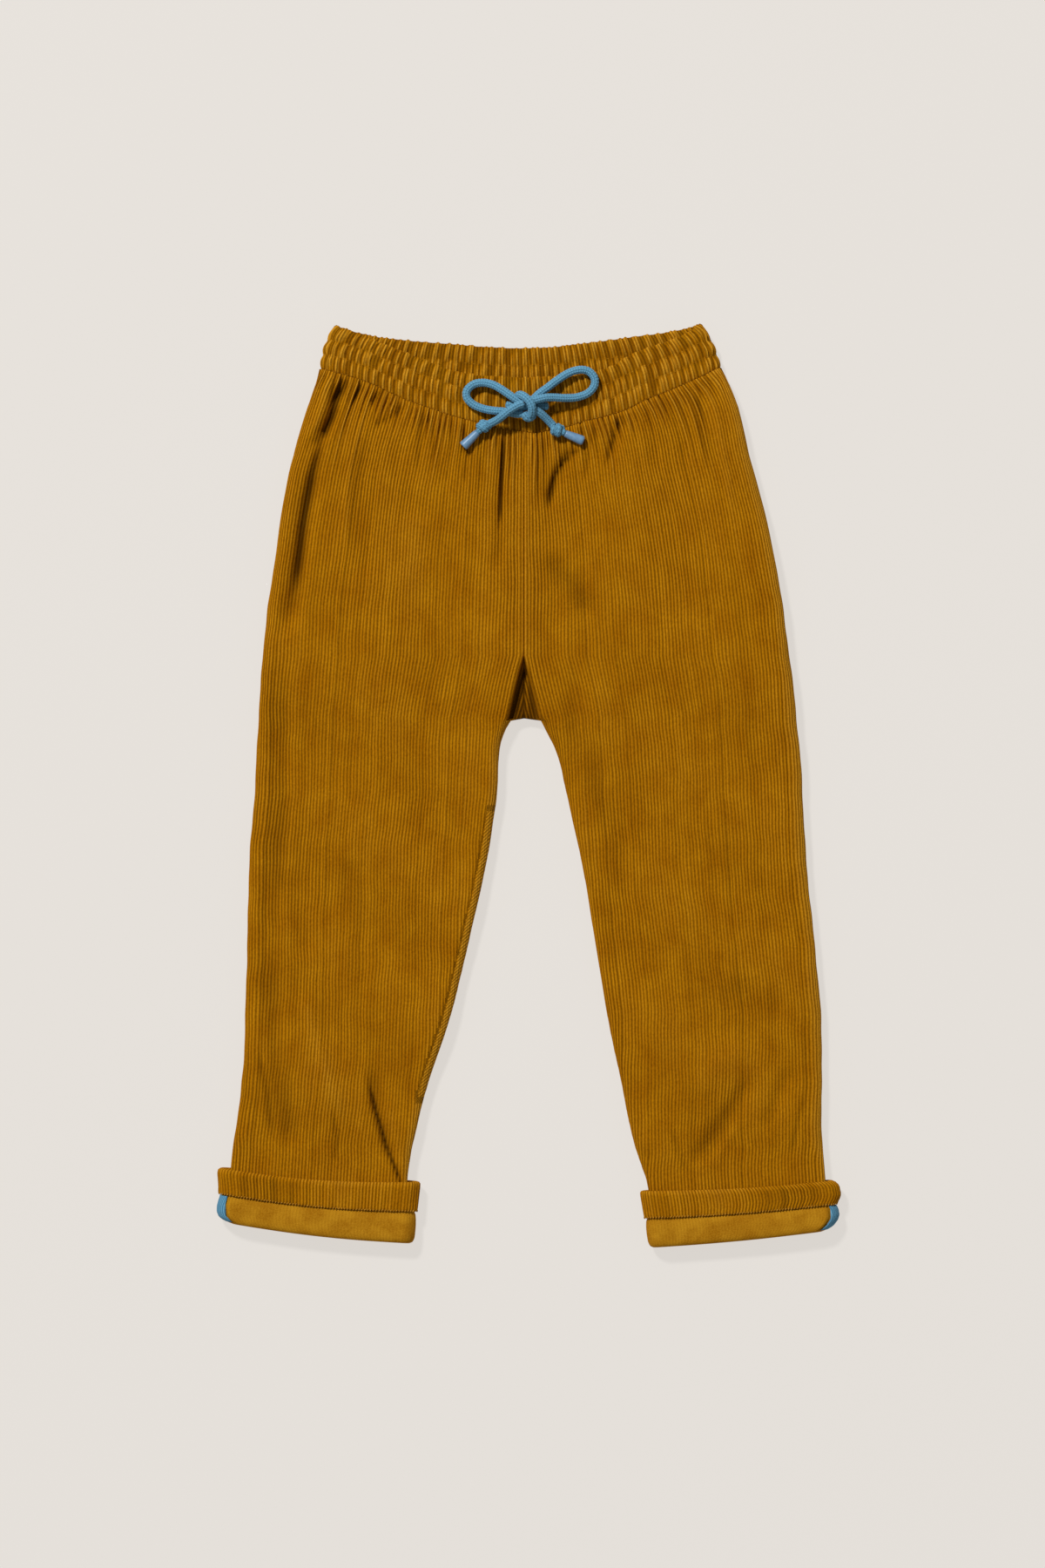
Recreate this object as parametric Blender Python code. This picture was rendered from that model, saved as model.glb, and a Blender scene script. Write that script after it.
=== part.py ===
"""A small child's pull-on corduroy trousers, laid flat on their back.

The pieces are the ones a maker cuts and sews: two fronts, two backs, a gathered
elastic waistband in two halves, a cuff rolled up at each hem with its hem
allowance and side-seam tape showing, and a drawcord tied in a bow.
+X is the picture's right, +Y runs from the cuffs to the waist, +Z is up from the
surface, and the origin is the middle of the footprint. Tables are in millimetres.
"""
import math
from collections import namedtuple

import bmesh
import bpy
from mathutils import Vector

# ---------------------------------------------------------------- driving sizes
MM = 0.001
CLOTH = 1.6              # one layer of corduroy, pile included
CASING = 2.6             # waistband: two layers round an elastic
SEAM_GAP = 0.3           # clear gap between pieces that are sewn together
WAIST_GAP = 0.45         # the same where straight columns meet the waistband's curve
FOLD_GAP = 0.7           # the same inside the cuff, where the leg meets the cloth rolled up from it
CORD = 4.8               # drawcord diameter
SHARP = math.radians(75)  # edges sharper than this are not shaded smooth
CENTRE_X = -2.9          # the rise seam, front and back
SIDE_Z = 5.5             # height of the side seams and inseams above the surface
CROTCH_Z = 1.75          # height of the seam where the four pieces meet
CUFF_THICK = 15.8        # whole thickness of a rolled cuff, lying flat
BAND_Z = 13.6            # height of the front at the seam with the waistband
LEG_TOP = 37             # y of the crotch: below it the outline has its two inner edges
CUFF_LAYER = CLOTH + SEAM_GAP
LEG_IN_CUFF_Z = 2 * CUFF_LAYER
SIDE_ROUND = 8.0         # how far in from a side seam the leg is still turning over
INSEAM_ROUND = 6.0
CASING_ROUND = 9.0
GATHERS = 52             # gathers across one half of the waistband
CHANNELS = 3             # rows of elastic, with a line of stitching between each two
PUFF = 0.9               # how far a channel swells past its stitching
GATHER_HEIGHT = 0.55     # of a gather above the middle of its channel

# ------------------------------------------------------------------ the outline
# y, then x of the left leg's outer and inner edge, the right leg's inner and outer edge
Row = namedtuple("Row", "y left_outer left_inner right_inner right_outer")
OUTLINE = [
    Row(240, -119.7, None, None, 110.3), Row(228, -122.8, None, None, 115.9),
    Row(210, -128.8, None, None, 121.9), Row(190, -134.8, None, None, 126.4),
    Row(170, -139.3, None, None, 131.8), Row(150, -142.8, None, None, 136.8),
    Row(120, -147.3, None, None, 142.8), Row(90, -151.3, None, None, 147.3),
    Row(60, -153.8, None, None, 151.3), Row(LEG_TOP, -155.4, -10.4, 6.9, 153.7),
    Row(30, -155.8, -14.2, 10.4, 154.4), Row(17, -156.5, -17.2, 16.3, 155.6),
    Row(0, -157.2, -18.0, 20.4, 156.8), Row(-20, -158.8, -20.4, 24.9, 157.8),
    Row(-50, -160.8, -25.6, 31.3, 159.8), Row(-80, -161.5, -32.4, 36.3, 162.8),
    Row(-110, -162.3, -39.3, 41.3, 165.8), Row(-140, -163.2, -47.4, 46.4, 167.9),
    Row(-170, -164.9, -57.5, 52.9, 168.0), Row(-200, -168.9, -65.2, 58.9, 168.2),
    Row(-217, -171.0, -68.6, 64.0, 169.4), Row(-232, -172.0, -69.8, 68.6, 170.6),
    Row(-262, -171.6, -69.4, 71.8, 170.4),
]
# y, then how high the front lies above the surface
Rise = namedtuple("Rise", "y height")
FRONT_HEIGHT = [
    Rise(240, 13.2), Rise(203, BAND_Z), Rise(190, 14.6), Rise(150, 16.6), Rise(100, 17.2),
    Rise(60, 16.4), Rise(30, 14.6), Rise(-10, 13.8), Rise(-100, 13.2), Rise(-190, 13.0),
    Rise(-225, 12.0), Rise(-262, 12.0),
]

# --------------------------------------------------------------- the waistband
# x, then y, of the edges of the two halves; z falls away at both ends
Edge = namedtuple("Edge", "x y")
FRONT_TOP = [
    Edge(-111.8, 263.6), Edge(-94.8, 258.2), Edge(-85.8, 253.8), Edge(-74.8, 249.8),
    Edge(-54.3, 241.8), Edge(-37.8, 236.6), Edge(-13.8, 234.5), Edge(6.3, 234.3),
    Edge(39.8, 237.7), Edge(60.3, 247.8), Edge(78.8, 254.4), Edge(92.8, 260.6), Edge(99.3, 264.4),
]
FRONT_BOTTOM = [
    Edge(-119.5, 238.9), Edge(-92.3, 230.8), Edge(-78.3, 224.3), Edge(-61.8, 217.8),
    Edge(-30.0, 208.0), Edge(-3.8, 202.8), Edge(9.3, 202.8), Edge(32.3, 208.6),
    Edge(54.8, 214.8), Edge(65.8, 220.3), Edge(84.3, 227.8), Edge(110.0, 239.6),
]
BACK_TOP = [
    Edge(-111.8, 263.9), Edge(-94.8, 259.3), Edge(-76.3, 256.3), Edge(-41.3, 253.3),
    Edge(-22.8, 251.8), Edge(4.8, 251.4), Edge(25.3, 253.2), Edge(64.8, 258.3),
    Edge(83.3, 261.0), Edge(99.3, 264.8),
]
BACK_BOTTOM = [
    Edge(-119.5, 238.9), Edge(-80.0, 228.5), Edge(-40.0, 222.5), Edge(-3.0, 220.5),
    Edge(40.0, 223.5), Edge(80.0, 230.5), Edge(110.0, 239.6),
]
# the ends of the band step out at each line of stitching: 0 is the top fold, 1 the bottom
Step = namedtuple("Step", "down left right")
BAND_ENDS = [
    Step(0.0, -111.8, 99.3), Step(0.33, -115.9, 104.3), Step(0.67, -118.4, 107.6),
    Step(1.0, -119.5, 110.0),
]

# ------------------------------------------------------------------- the folds
# a soft trough (depth above 0) or ridge (below 0) along a route of (x, y) points
Fold = namedtuple("Fold", "half_width depth route")
FOLDS = [
    Fold(3.2, 3.6, [(-106, 232), (-111.5, 221), (-111.5, 213), (-118, 202), (-125, 197)]),
    Fold(5.0, 4.0, [(-119, 190), (-128, 160), (-131.5, 130), (-135.5, 104), (-143, 80)]),
    Fold(5.5, 2.4, [(-144, 84), (-144, 20), (-143, -20), (-150, -70), (-150, -110)]),
    Fold(5.5, 3.0, [(-150, -90), (-146, -139), (-139, -189), (-134, -214)]),
    Fold(7.0, -1.6, [(-133, -112), (-125, -142), (-116, -168), (-104, -198)]),
    Fold(5.0, 1.6, [(-143, -45), (-131, -79), (-124, -100)]),
    Fold(6.5, 1.6, [(-104, -38), (-96, -75), (-97, -140)]),
    Fold(4.0, 3.6, [(-91, -160), (-86, -186), (-80, -210), (-75, -222)]),
    Fold(6.0, 1.7, [(-94, 204), (-96, 170), (-95, 135), (-91, 114)]),
    Fold(5.0, 1.5, [(-80, 200), (-69, 165), (-55, 150)]),
    Fold(3.6, 1.6, [(-54, 208), (-51, 190), (-46, 170)]),
    Fold(3.4, 2.2, [(-15, 200), (-15.4, 171), (-16.2, 138), (-19, 118)]),
    Fold(3.4, 2.6, [(27, 195), (18.5, 182), (13.7, 170), (10.8, 158)]),
    Fold(3.4, 2.0, [(54, 213), (50, 201), (46.5, 186)]),
    Fold(4.0, 1.4, [(66, 216), (72, 196), (74, 178)]),
    Fold(4.0, 1.2, [(84, 222), (90, 200), (91, 182)]),
    Fold(6.0, 2.6, [(22, 76), (25.5, 54), (28.5, 28), (37, 9), (41, -6), (51, -30), (54, -62),
                    (52, -84)]),
    Fold(9.0, 1.6, [(112, -112), (134, -128), (150, -126)]),
    Fold(8.0, -1.4, [(94, -178), (112, -158), (128, -150)]),
    Fold(5.0, 3.0, [(130, -163), (116, -188), (102, -208), (91, -222)]),
    Fold(4.5, 1.8, [(151, -160), (142, -182), (134, -200)]),
    Fold(4.0, 1.8, [(66, -208), (70, -219), (76, -228)]),
]
FOLD_REACH = 3           # half widths from its route beyond which a fold no longer counts
FOLD_FADE = (0.2, 0.75)  # shares of its route where a fold has come to its depth and starts to leave it

# ------------------------------------------------------------------- the cuffs
# the corners of each rolled cuff: where its rim and its bottom fold meet the two sides
Cuff = namedtuple("Cuff", "side outer_rim inner_rim outer_fold inner_fold sag")
CUFFS = [
    Cuff("left", (-179.4, -219.0), (-62.2, -227.3), (-176.4, -250.6), (-65.6, -263.0), 3.0),
    Cuff("right", (179.8, -226.0), (63.5, -232.6), (174.6, -255.2), (68.4, -265.4), 1.6),
]
HEM_DOWN = 0.48          # how far down the cuff the edge of its hem allowance lies
RETURN = 6.0             # cloth that runs back up inside the bottom fold
LIP = 2.8                # how far the hem allowance turns in over the rim of the cuff
CUFF_FRONT = (0.3, 0.8)  # shares of its thickness between which the cuff's back becomes its front
BACK_SAG = 0.4           # share of its sag that the back has at the bottom fold; none at the rim
FRONT_SAG_LOSS = 0.35    # share of it that the front loses from the rim to the bottom fold

# ---------------------------------------------------------------- the drawcord
DECK = 15.2              # top of the gathers that the bow lies on
LOW = DECK + SEAM_GAP + CORD / 2
LOWEST = LOW - 0.8       # where the cord settles between the gathers
ROUTES = {
    "drawcord_loop_left": [
        (-7.4, 220.8, 22.7), (-11.6, 223.8, 21.7), (-16.3, 227.0, 20.2), (-21.0, 229.5, 19.0),
        (-26.5, 230.6, LOW), (-31.8, 229.6, LOW), (-35.6, 226.0, LOW), (-35.4, 221.6, LOW),
        (-31.2, 217.7, LOW), (-25.0, 215.4, 18.8), (-19.0, 214.4, 20.6), (-14.0, 214.0, 21.6),
        (-6.8, 212.6, 22.2),
    ],
    "drawcord_loop_right": [
        (3.2, 220.3, 24.8), (9.0, 221.8, 24.0), (14.0, 222.0, 22.0), (20.0, 221.8, 20.0),
        (27.0, 222.2, LOW), (33.4, 224.5, LOWEST), (37.2, 228.6, LOWEST), (37.4, 233.4, LOWEST),
        (34.0, 237.2, LOWEST), (28.6, 238.0, LOW), (22.4, 236.0, 18.4), (15.8, 231.8, 19.0),
        (10.4, 227.6, 19.6), (6.0, 224.4, 20.2),
    ],
    "drawcord_tail_left": [
        (-6.2, 217.4, 27.7), (-11.0, 214.6, 27.5), (-14.6, 211.8, 26.3), (-17.8, 209.4, 23.4),
        (-21.4, 207.6, 19.8),
    ],
    "drawcord_tail_right": [
        (3.8, 214.6, 23.6), (7.0, 212.6, 21.8), (10.0, 209.9, 19.4), (12.7, 207.2, LOW),
    ],
    "drawcord_stub_left": [(-6.2, 217.2, 18.4), (-10.0, 217.6, LOW), (-13.6, 217.6, LOW)],
    "drawcord_stub_right": [(3.3, 217.2, 18.4), (7.6, 217.2, LOW), (11.4, 217.2, LOW)],
}
POINT_STEP = 6.5         # spacing of the tubes' points along the cord
KNOT_CENTRE = (-1.5, 216.8, 22.6)
KNOT_SIZE = (4.4, 6.6, 6.2)
# the overhand knot that stops each end, then the moulded end past it
End = namedtuple("End", "side stopper start finish")
ENDS = [
    End("left", (-26.0, 205.6, 18.8), (-29.4, 202.4, 17.8), (-37.8, 194.2, 17.8)),
    End("right", (16.2, 203.6, 18.8), (20.6, 201.6, 17.8), (31.3, 197.2, 17.2)),
]
STOPPER_SIZE = (4.1, 4.1, 3.4)

FINISHES = {
    "corduroy": ((0.30, 0.105, 0.002), 0.95),
    "corduroy_reverse": ((0.38, 0.165, 0.007), 0.9),
    "seam_tape": ((0.06, 0.22, 0.37), 0.8),
    "cord": ((0.075, 0.2, 0.28), 0.85),
    "cord_end": ((0.1, 0.19, 0.29), 0.45),
}


def finish(name):
    """One material for each kind of surface."""
    if name in bpy.data.materials:
        return bpy.data.materials[name]
    colour, roughness = FINISHES[name]
    material = bpy.data.materials.new(name)
    material.use_nodes = True
    shader = material.node_tree.nodes["Principled BSDF"]
    shader.inputs["Base Color"].default_value = (*colour, 1)
    shader.inputs["Roughness"].default_value = roughness
    return material


# ----------------------------------------------------------------- small maths
def between(a, b, share):
    return a + (b - a) * share


def ramp(value, start, end):
    """0 at start and 1 at end, easing in and out."""
    share = min(max((value - start) / (end - start), 0), 1)
    return share * share * (3 - 2 * share)


def smooth(rows, at):
    """The value at a place in a table of (place, value) rows, on a curve through them all."""
    rows = sorted(rows)
    at = min(max(at, rows[0][0]), rows[-1][0])
    step = next(k for k in range(len(rows) - 1) if at <= rows[k + 1][0])
    (x0, y0), (x1, y1) = rows[step], rows[step + 1]

    def slope(k):
        low, high = rows[max(k - 1, 0)], rows[min(k + 1, len(rows) - 1)]
        return (high[1] - low[1]) / (high[0] - low[0])

    width = x1 - x0
    t = (at - x0) / width
    start = y0 + slope(step) * width * t
    end = y1 - slope(step + 1) * width * (1 - t)
    return between(start, end, t * t * (3 - 2 * t))


def near_route(x, y, route):
    """Distance from a point to a route, and how far along the route it lies, from 0 to 1."""
    best = (1e9, 0)
    for k in range(len(route) - 1):
        (ax, ay), (bx, by) = route[k], route[k + 1]
        run = (bx - ax, by - ay)
        share = ((x - ax) * run[0] + (y - ay) * run[1]) / (run[0] ** 2 + run[1] ** 2)
        share = min(max(share, 0), 1)
        gap = math.hypot(x - ax - run[0] * share, y - ay - run[1] * share)
        best = min(best, (gap, (k + share) / (len(route) - 1)))
    return best


def fold_depth(x, y):
    """How far the folds take the cloth down at a place; ridges count below 0."""
    total = 0
    for fold in FOLDS:
        gap, along = near_route(x, y, fold.route)
        if gap < FOLD_REACH * fold.half_width:
            fade = ramp(along, 0, FOLD_FADE[0]) * ramp(along, 1, FOLD_FADE[1])
            total += fold.depth * fade * math.exp(-(gap / fold.half_width) ** 2)
    return total


# ------------------------------------------------------------- closing a solid
def to_vertex(mesh, point):
    return mesh.verts.new((point[0] * MM, point[1] * MM, point[2] * MM))


def strip(mesh, first, second):
    """Fill between two rows of vertices, which may hold different numbers of them."""
    i = j = 0
    while i < len(first) - 1 or j < len(second) - 1:
        step_first = (i + 1) / (len(first) - 1) if i < len(first) - 1 else 2
        step_second = (j + 1) / (len(second) - 1) if j < len(second) - 1 else 2
        if abs(step_first - step_second) < 1e-6:
            mesh.faces.new((first[i], first[i + 1], second[j + 1], second[j]))
            i += 1
            j += 1
        elif step_first < step_second:
            mesh.faces.new((first[i], first[i + 1], second[j]))
            i += 1
        else:
            mesh.faces.new((first[i], second[j + 1], second[j]))
            j += 1


def fill_grid(mesh, rows):
    for above, below in zip(rows, rows[1:]):
        strip(mesh, above, below)


def add_object(name, mesh, finish_name):
    """Turn a finished bmesh into a named object with its faces pointing out."""
    bmesh.ops.recalc_face_normals(mesh, faces=mesh.faces)
    data = bpy.data.meshes.new(name)
    mesh.to_mesh(data)
    mesh.free()
    data.materials.append(finish(finish_name))
    data.shade_smooth()
    data.set_sharp_from_angle(angle=SHARP)
    made = bpy.data.objects.new(name, data)
    bpy.context.scene.collection.objects.link(made)
    return made


def add_wall(name, outer, inner, finish_name):
    """A wall of cloth between a grid of outer points and a grid of inner points."""
    mesh = bmesh.new()
    outside = [[to_vertex(mesh, point) for point in row] for row in outer]
    inside = [[to_vertex(mesh, point) for point in row] for row in inner]
    fill_grid(mesh, outside)
    fill_grid(mesh, inside)
    strip(mesh, outside[0], inside[0])
    strip(mesh, outside[-1], inside[-1])
    strip(mesh, [row[0] for row in outside], [row[0] for row in inside])
    strip(mesh, [row[-1] for row in outside], [row[-1] for row in inside])
    return add_object(name, mesh, finish_name)


def add_ring(name, sections, finish_name):
    """A closed ring of equal closed sections."""
    mesh = bmesh.new()
    loops = [[to_vertex(mesh, point) for point in section] for section in sections]
    closed = [loop + loop[:1] for loop in loops]
    fill_grid(mesh, closed + closed[:1])
    return add_object(name, mesh, finish_name)


# -------------------------------------------------------------- legs and seat
WAIST_ROW = 202.6        # y of the waist seam at the middle of the front
BACK_WAIST_ROW = 220.3
FRONT_ROWS = [
    WAIST_ROW, 195, 186, 175, 161, 145, 127, 107, 89, 76, 66, 56, 47, 40, 38.4, LEG_TOP, 34, 27, 14, -8,
    -34, -60, -86, -112, -138, -160, -180,
]
BACK_ROWS = [
    BACK_WAIST_ROW, 200, 168, 132, 96, 66, 48, 40, 38.4, LEG_TOP, 34, 27, 14, -8, -40, -80, -120, -160,
]
# the rows where the leg rises into its cuff are the same on the front and the back
ANKLE_ROWS = [-194, -201, -206, -211, -216, -222, -245]
LEGS_PART = (38.4, LEG_TOP)  # between these rows each leg's inner edge leaves the rise seam
# degrees from level of the columns that turn over at a side seam, on the front and on the back
SIDE_ANGLES = [0, 25, 50, 72, 90]
BACK_ANGLES = [0, 35, 65, 90]
# how far across from the side rounding to the inner rounding each column of the front runs
FRONT_COLUMNS = [0.045, 0.09, 0.14, 0.2, 0.28, 0.37, 0.46, 0.55, 0.64, 0.73, 0.82, 0.91]
BACK_COLUMNS = [0.12, 0.27, 0.43, 0.59, 0.75, 0.9]
BACK_SEAT_STEPS = [10.0, 6.0, 3.0, 0.0]   # the back's last columns before the rise seam
SIDE_READ_X = 112        # how far from the middle a row's height at its side seam is read
WAIST_FADE = 118         # below this the rows no longer follow the waist's curve
CUFF_FADE = (-150, -225)  # between these the rows take up the cuff's slant
CUFF_ENTRY = (22, 7)     # heights above the cuff's rim between which the leg is drawn in to fit it
INSEAM_DROP = (6, 34)    # between these rows the inseam comes down to the crotch
VALLEY_TOP = 74          # where the hollow between the legs starts on the front
VALLEY_LONG = 36
VALLEY_HALF = 8.6
VALLEY_RISE = (4, -12)   # heights from its top between which the hollow gets its full depth
VALLEY_SIDE = (1.8, -1.4)  # widths from its half width between which its side slopes down
LEAN_STEP = 0.5          # how far to either side the slope of the front is read


def outline(side, edge, y):
    """x of a leg's outer or inner edge."""
    column = side + "_" + edge
    rows = [(row.y, getattr(row, column)) for row in OUTLINE if getattr(row, column) is not None]
    return smooth(rows, y)


def cuff_slant(cuff, share):
    """How far a cuff's middle line departs from level, share of the way from inner to outer side."""
    outer = (cuff.outer_rim[1] + cuff.outer_fold[1]) / 2
    inner = (cuff.inner_rim[1] + cuff.inner_fold[1]) / 2
    return (outer - inner) * (share - 0.5)


def cuff_y(cuff, x, z, down):
    """y on a cuff at a place across it, down from its rim (0) to its bottom fold (1)."""
    outer_x = between(cuff.outer_rim[0], cuff.outer_fold[0], down)
    inner_x = between(cuff.inner_rim[0], cuff.inner_fold[0], down)
    share = min(max((x - outer_x) / (inner_x - outer_x), 0), 1)
    rim = between(cuff.outer_rim[1], cuff.inner_rim[1], share)
    fold = between(cuff.outer_fold[1], cuff.inner_fold[1], share)
    front = ramp(z / CUFF_THICK, *CUFF_FRONT)
    hang = between(BACK_SAG * down, 1 - FRONT_SAG_LOSS * down, front)
    sag = cuff.sag * math.sin(math.pi * share) * hang
    return between(rim, fold, down) - sag


def cuff_length(cuff):
    """Mean distance from a cuff's rim to its bottom fold."""
    outer = cuff.outer_rim[1] - cuff.outer_fold[1]
    inner = cuff.inner_rim[1] - cuff.inner_fold[1]
    return (outer + inner) / 2


def row_y(cuff, row, x, share, bottom, waist_row, front):
    """y on a row at x, share of the way from the rise seam or inseam (0) to the side seam (1)."""
    waist_follow = ramp(row, WAIST_FADE, waist_row)
    follow_waist = (smooth(bottom, x) - waist_row - WAIST_GAP) * waist_follow
    follow_cuff = cuff_slant(cuff, share) * ramp(row, *CUFF_FADE)
    free = row + follow_waist + follow_cuff
    layer = CUFF_THICK - LEG_IN_CUFF_Z if front else LEG_IN_CUFF_Z
    stop = 1 - (RETURN + FOLD_GAP) / cuff_length(cuff)
    return between(free, cuff_y(cuff, x, layer, stop), ramp(row, *ANKLE_ROWS[-2:]))


def in_cuff(cuff, row):
    """0 on the free leg and 1 where the leg runs inside its rolled cuff."""
    rim = (cuff.outer_rim[1] + cuff.inner_rim[1]) / 2
    return ramp(row - rim, *CUFF_ENTRY)


def valley_half(row):
    """Half the width of the hollow between the legs, from its point down to the crotch."""
    return between(0, VALLEY_HALF, min(max((VALLEY_TOP - row) / VALLEY_LONG, 0), 1))


def valley(row, inset):
    """How much of the drop to the crotch the front takes, inset from the rise seam."""
    return ramp(row - VALLEY_TOP, *VALLEY_RISE) * ramp(inset - valley_half(row), *VALLEY_SIDE)


def front_seat_steps(row):
    """Insets of the front's last columns before the rise seam.

    One lies past the hollow, one at the top of its side, one at the foot of it, one on its floor
    and one at the seam. Higher up, where there is no hollow, they just close up on the seam.
    """
    top = valley_half(row) + VALLEY_SIDE[0]
    side_wide = 3.0
    return [top + 2.7, top, max(top - side_wide, top * 0.6), top * 0.3, 0.0]


def leg_grids(cuff, rows, front):
    """The outer and inner points of a front or a back, row by row from the waist."""
    sign = -1 if cuff.side == "left" else 1
    waist_row, bottom = (WAIST_ROW, FRONT_BOTTOM) if front else (BACK_WAIST_ROW, BACK_BOTTOM)
    bottom = [tuple(edge) for edge in bottom]
    angles = SIDE_ANGLES if front else BACK_ANGLES
    columns = FRONT_COLUMNS if front else BACK_COLUMNS
    way = 1 if front else -1
    outer, inner = [], []
    for row in rows:
        seat_steps = front_seat_steps(row) if front else BACK_SEAT_STEPS
        tucked = in_cuff(cuff, row)
        side_z = between(SIDE_Z, CUFF_THICK / 2, tucked)
        inseam_z = between(SIDE_Z, CROTCH_Z, ramp(row, *INSEAM_DROP))
        inseam_z = between(inseam_z, CUFF_THICK / 2, tucked)
        parted = ramp(row, *LEGS_PART)
        side_y = row_y(cuff, row, sign * SIDE_READ_X, 1, bottom, waist_row, front)
        inner_y = row_y(cuff, row, CENTRE_X, 0, bottom, waist_row, front)
        x_side = outline(cuff.side, "outer", side_y)
        x_seat = CENTRE_X + sign * SEAM_GAP / 2
        x_leg = outline(cuff.side, "inner", min(inner_y, LEG_TOP))
        x_edge = between(x_seat, x_leg, parted)
        round_side = between(SIDE_ROUND, CUFF_THICK / 2 - LEG_IN_CUFF_Z, tucked)
        round_inner = between(INSEAM_ROUND, CUFF_THICK / 2 - LEG_IN_CUFF_Z, tucked)
        flat_back = LEG_IN_CUFF_Z * tucked

        def place(x):
            share = (x - x_edge) / (x_side - x_edge)
            return row_y(cuff, row, x, share, bottom, waist_row, front)

        def level(x, y):
            if not front:
                return flat_back
            height = smooth([tuple(rise) for rise in FRONT_HEIGHT], row)
            drop = height - (CROTCH_Z + SEAM_GAP / 2 + CLOTH)
            sunk = drop * valley(row, abs(x - x_seat)) * (1 - parted)
            folds = fold_depth(x, y) * (1 - tucked) * (1 - valley(row, abs(x - x_seat)))
            return height - folds - sunk

        def flat_pair(x):
            y = place(x)
            z = level(x, y)
            lean = (level(x + LEAN_STEP, y) - level(x - LEAN_STEP, y)) / (2 * LEAN_STEP)
            size = math.hypot(lean, 1)
            shift = (way * lean * CLOTH / size, -way * CLOTH / size)
            return (x, y, z), (x + shift[0], y, z + shift[1])

        def arc_pair(x_end, inward, radius, seam_z, angle):
            across, up = math.cos(math.radians(angle)), math.sin(math.radians(angle))
            x = x_end + inward * radius * (1 - across)
            y = place(x)
            start = seam_z + way * SEAM_GAP / 2
            span = abs(level(x, y) - start)
            z = start + way * span * up
            normal = Vector((-inward * across / radius, way * up / max(span, 1))).normalized()
            inside_z = z - normal.y * CLOTH
            if not front:
                inside_z = min(inside_z, max(start, flat_back + CLOTH))
            return (x, y, z), (x - normal.x * CLOTH, y, inside_z)

        pairs = [arc_pair(x_side, -sign, round_side, side_z, angle) for angle in angles]
        x_first = x_side - sign * round_side
        x_last = x_edge + sign * between(seat_steps[0], round_inner, parted)
        pairs += [flat_pair(between(x_first, x_last, share)) for share in columns]
        inner_angles = [90 - k * 90 / (len(seat_steps) - 1) for k in range(len(seat_steps))]
        for step, angle in zip(seat_steps, inner_angles):
            seat = flat_pair(x_edge + sign * step)
            if step == 0:
                seat = (seat[0], (seat[0][0], seat[0][1], seat[0][2] - way * CLOTH))
            leg = arc_pair(x_edge, sign, round_inner, inseam_z, angle)
            pairs.append([Vector(a).lerp(Vector(b), parted) for a, b in zip(seat, leg)])
        outer.append([pair[0] for pair in pairs])
        inner.append([pair[1] for pair in pairs])
    return outer, inner


def make_legs():
    for cuff in CUFFS:
        for name, rows, front in (("front", FRONT_ROWS, True), ("back", BACK_ROWS, False)):
            outer, inner = leg_grids(cuff, rows + ANKLE_ROWS, front)
            add_wall(name + "_" + cuff.side, outer, inner, "corduroy")


# ------------------------------------------------------------------ waistband
BAND_ROWS = 2 * CHANNELS + 1
COLUMNS_PER_GATHER = 2
TURN_COLUMNS = 0.06      # share of the band's length that turns over at each end
END_FADE = 0.02          # share of it over which the gathers fade in at each end
SEWN_GATHER = 0.6        # height left to a gather on a line of stitching
SEWN_SWELL = -0.1        # how far a line of stitching stands out
UNEVEN_SLOW = (0.3, 2.4)  # share of a gather's height that varies, and how fast, along the band
UNEVEN_FAST = (0.2, 5.1)  # the same again, which differs from row to row too
PLAIN_STEP = 3           # the casing's inner face needs only every third row


def band_section(left, right, low, high, share):
    """A point and the outward direction on the band's flattened half loop."""
    rise = high - low
    if share < TURN_COLUMNS:
        angle = share / TURN_COLUMNS * math.pi / 2
        end, inward = left, 1
    elif share > 1 - TURN_COLUMNS:
        angle = (1 - share) / TURN_COLUMNS * math.pi / 2
        end, inward = right, -1
    else:
        across = (share - TURN_COLUMNS) / (1 - 2 * TURN_COLUMNS)
        x = between(left + CASING_ROUND, right - CASING_ROUND, across)
        return x, high, Vector((0, 1))
    x = end + inward * CASING_ROUND * (1 - math.cos(angle))
    normal = Vector((-inward * math.cos(angle), math.sin(angle) * abs(CASING_ROUND / rise)))
    return x, low + rise * math.sin(angle), normal.normalized()


def gather(column, row):
    """How far a gather lifts the casing at a column of its grid, uneven from one to the next."""
    index = column // COLUMNS_PER_GATHER
    ridge = 1 if column % COLUMNS_PER_GATHER else -1
    uneven = 1 + UNEVEN_SLOW[0] * math.sin(index * UNEVEN_SLOW[1])
    uneven += UNEVEN_FAST[0] * math.sin(index * UNEVEN_FAST[1] + row)
    sewn = SEWN_GATHER if row % 2 == 0 else 1
    return ridge * uneven * sewn * GATHER_HEIGHT


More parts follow.
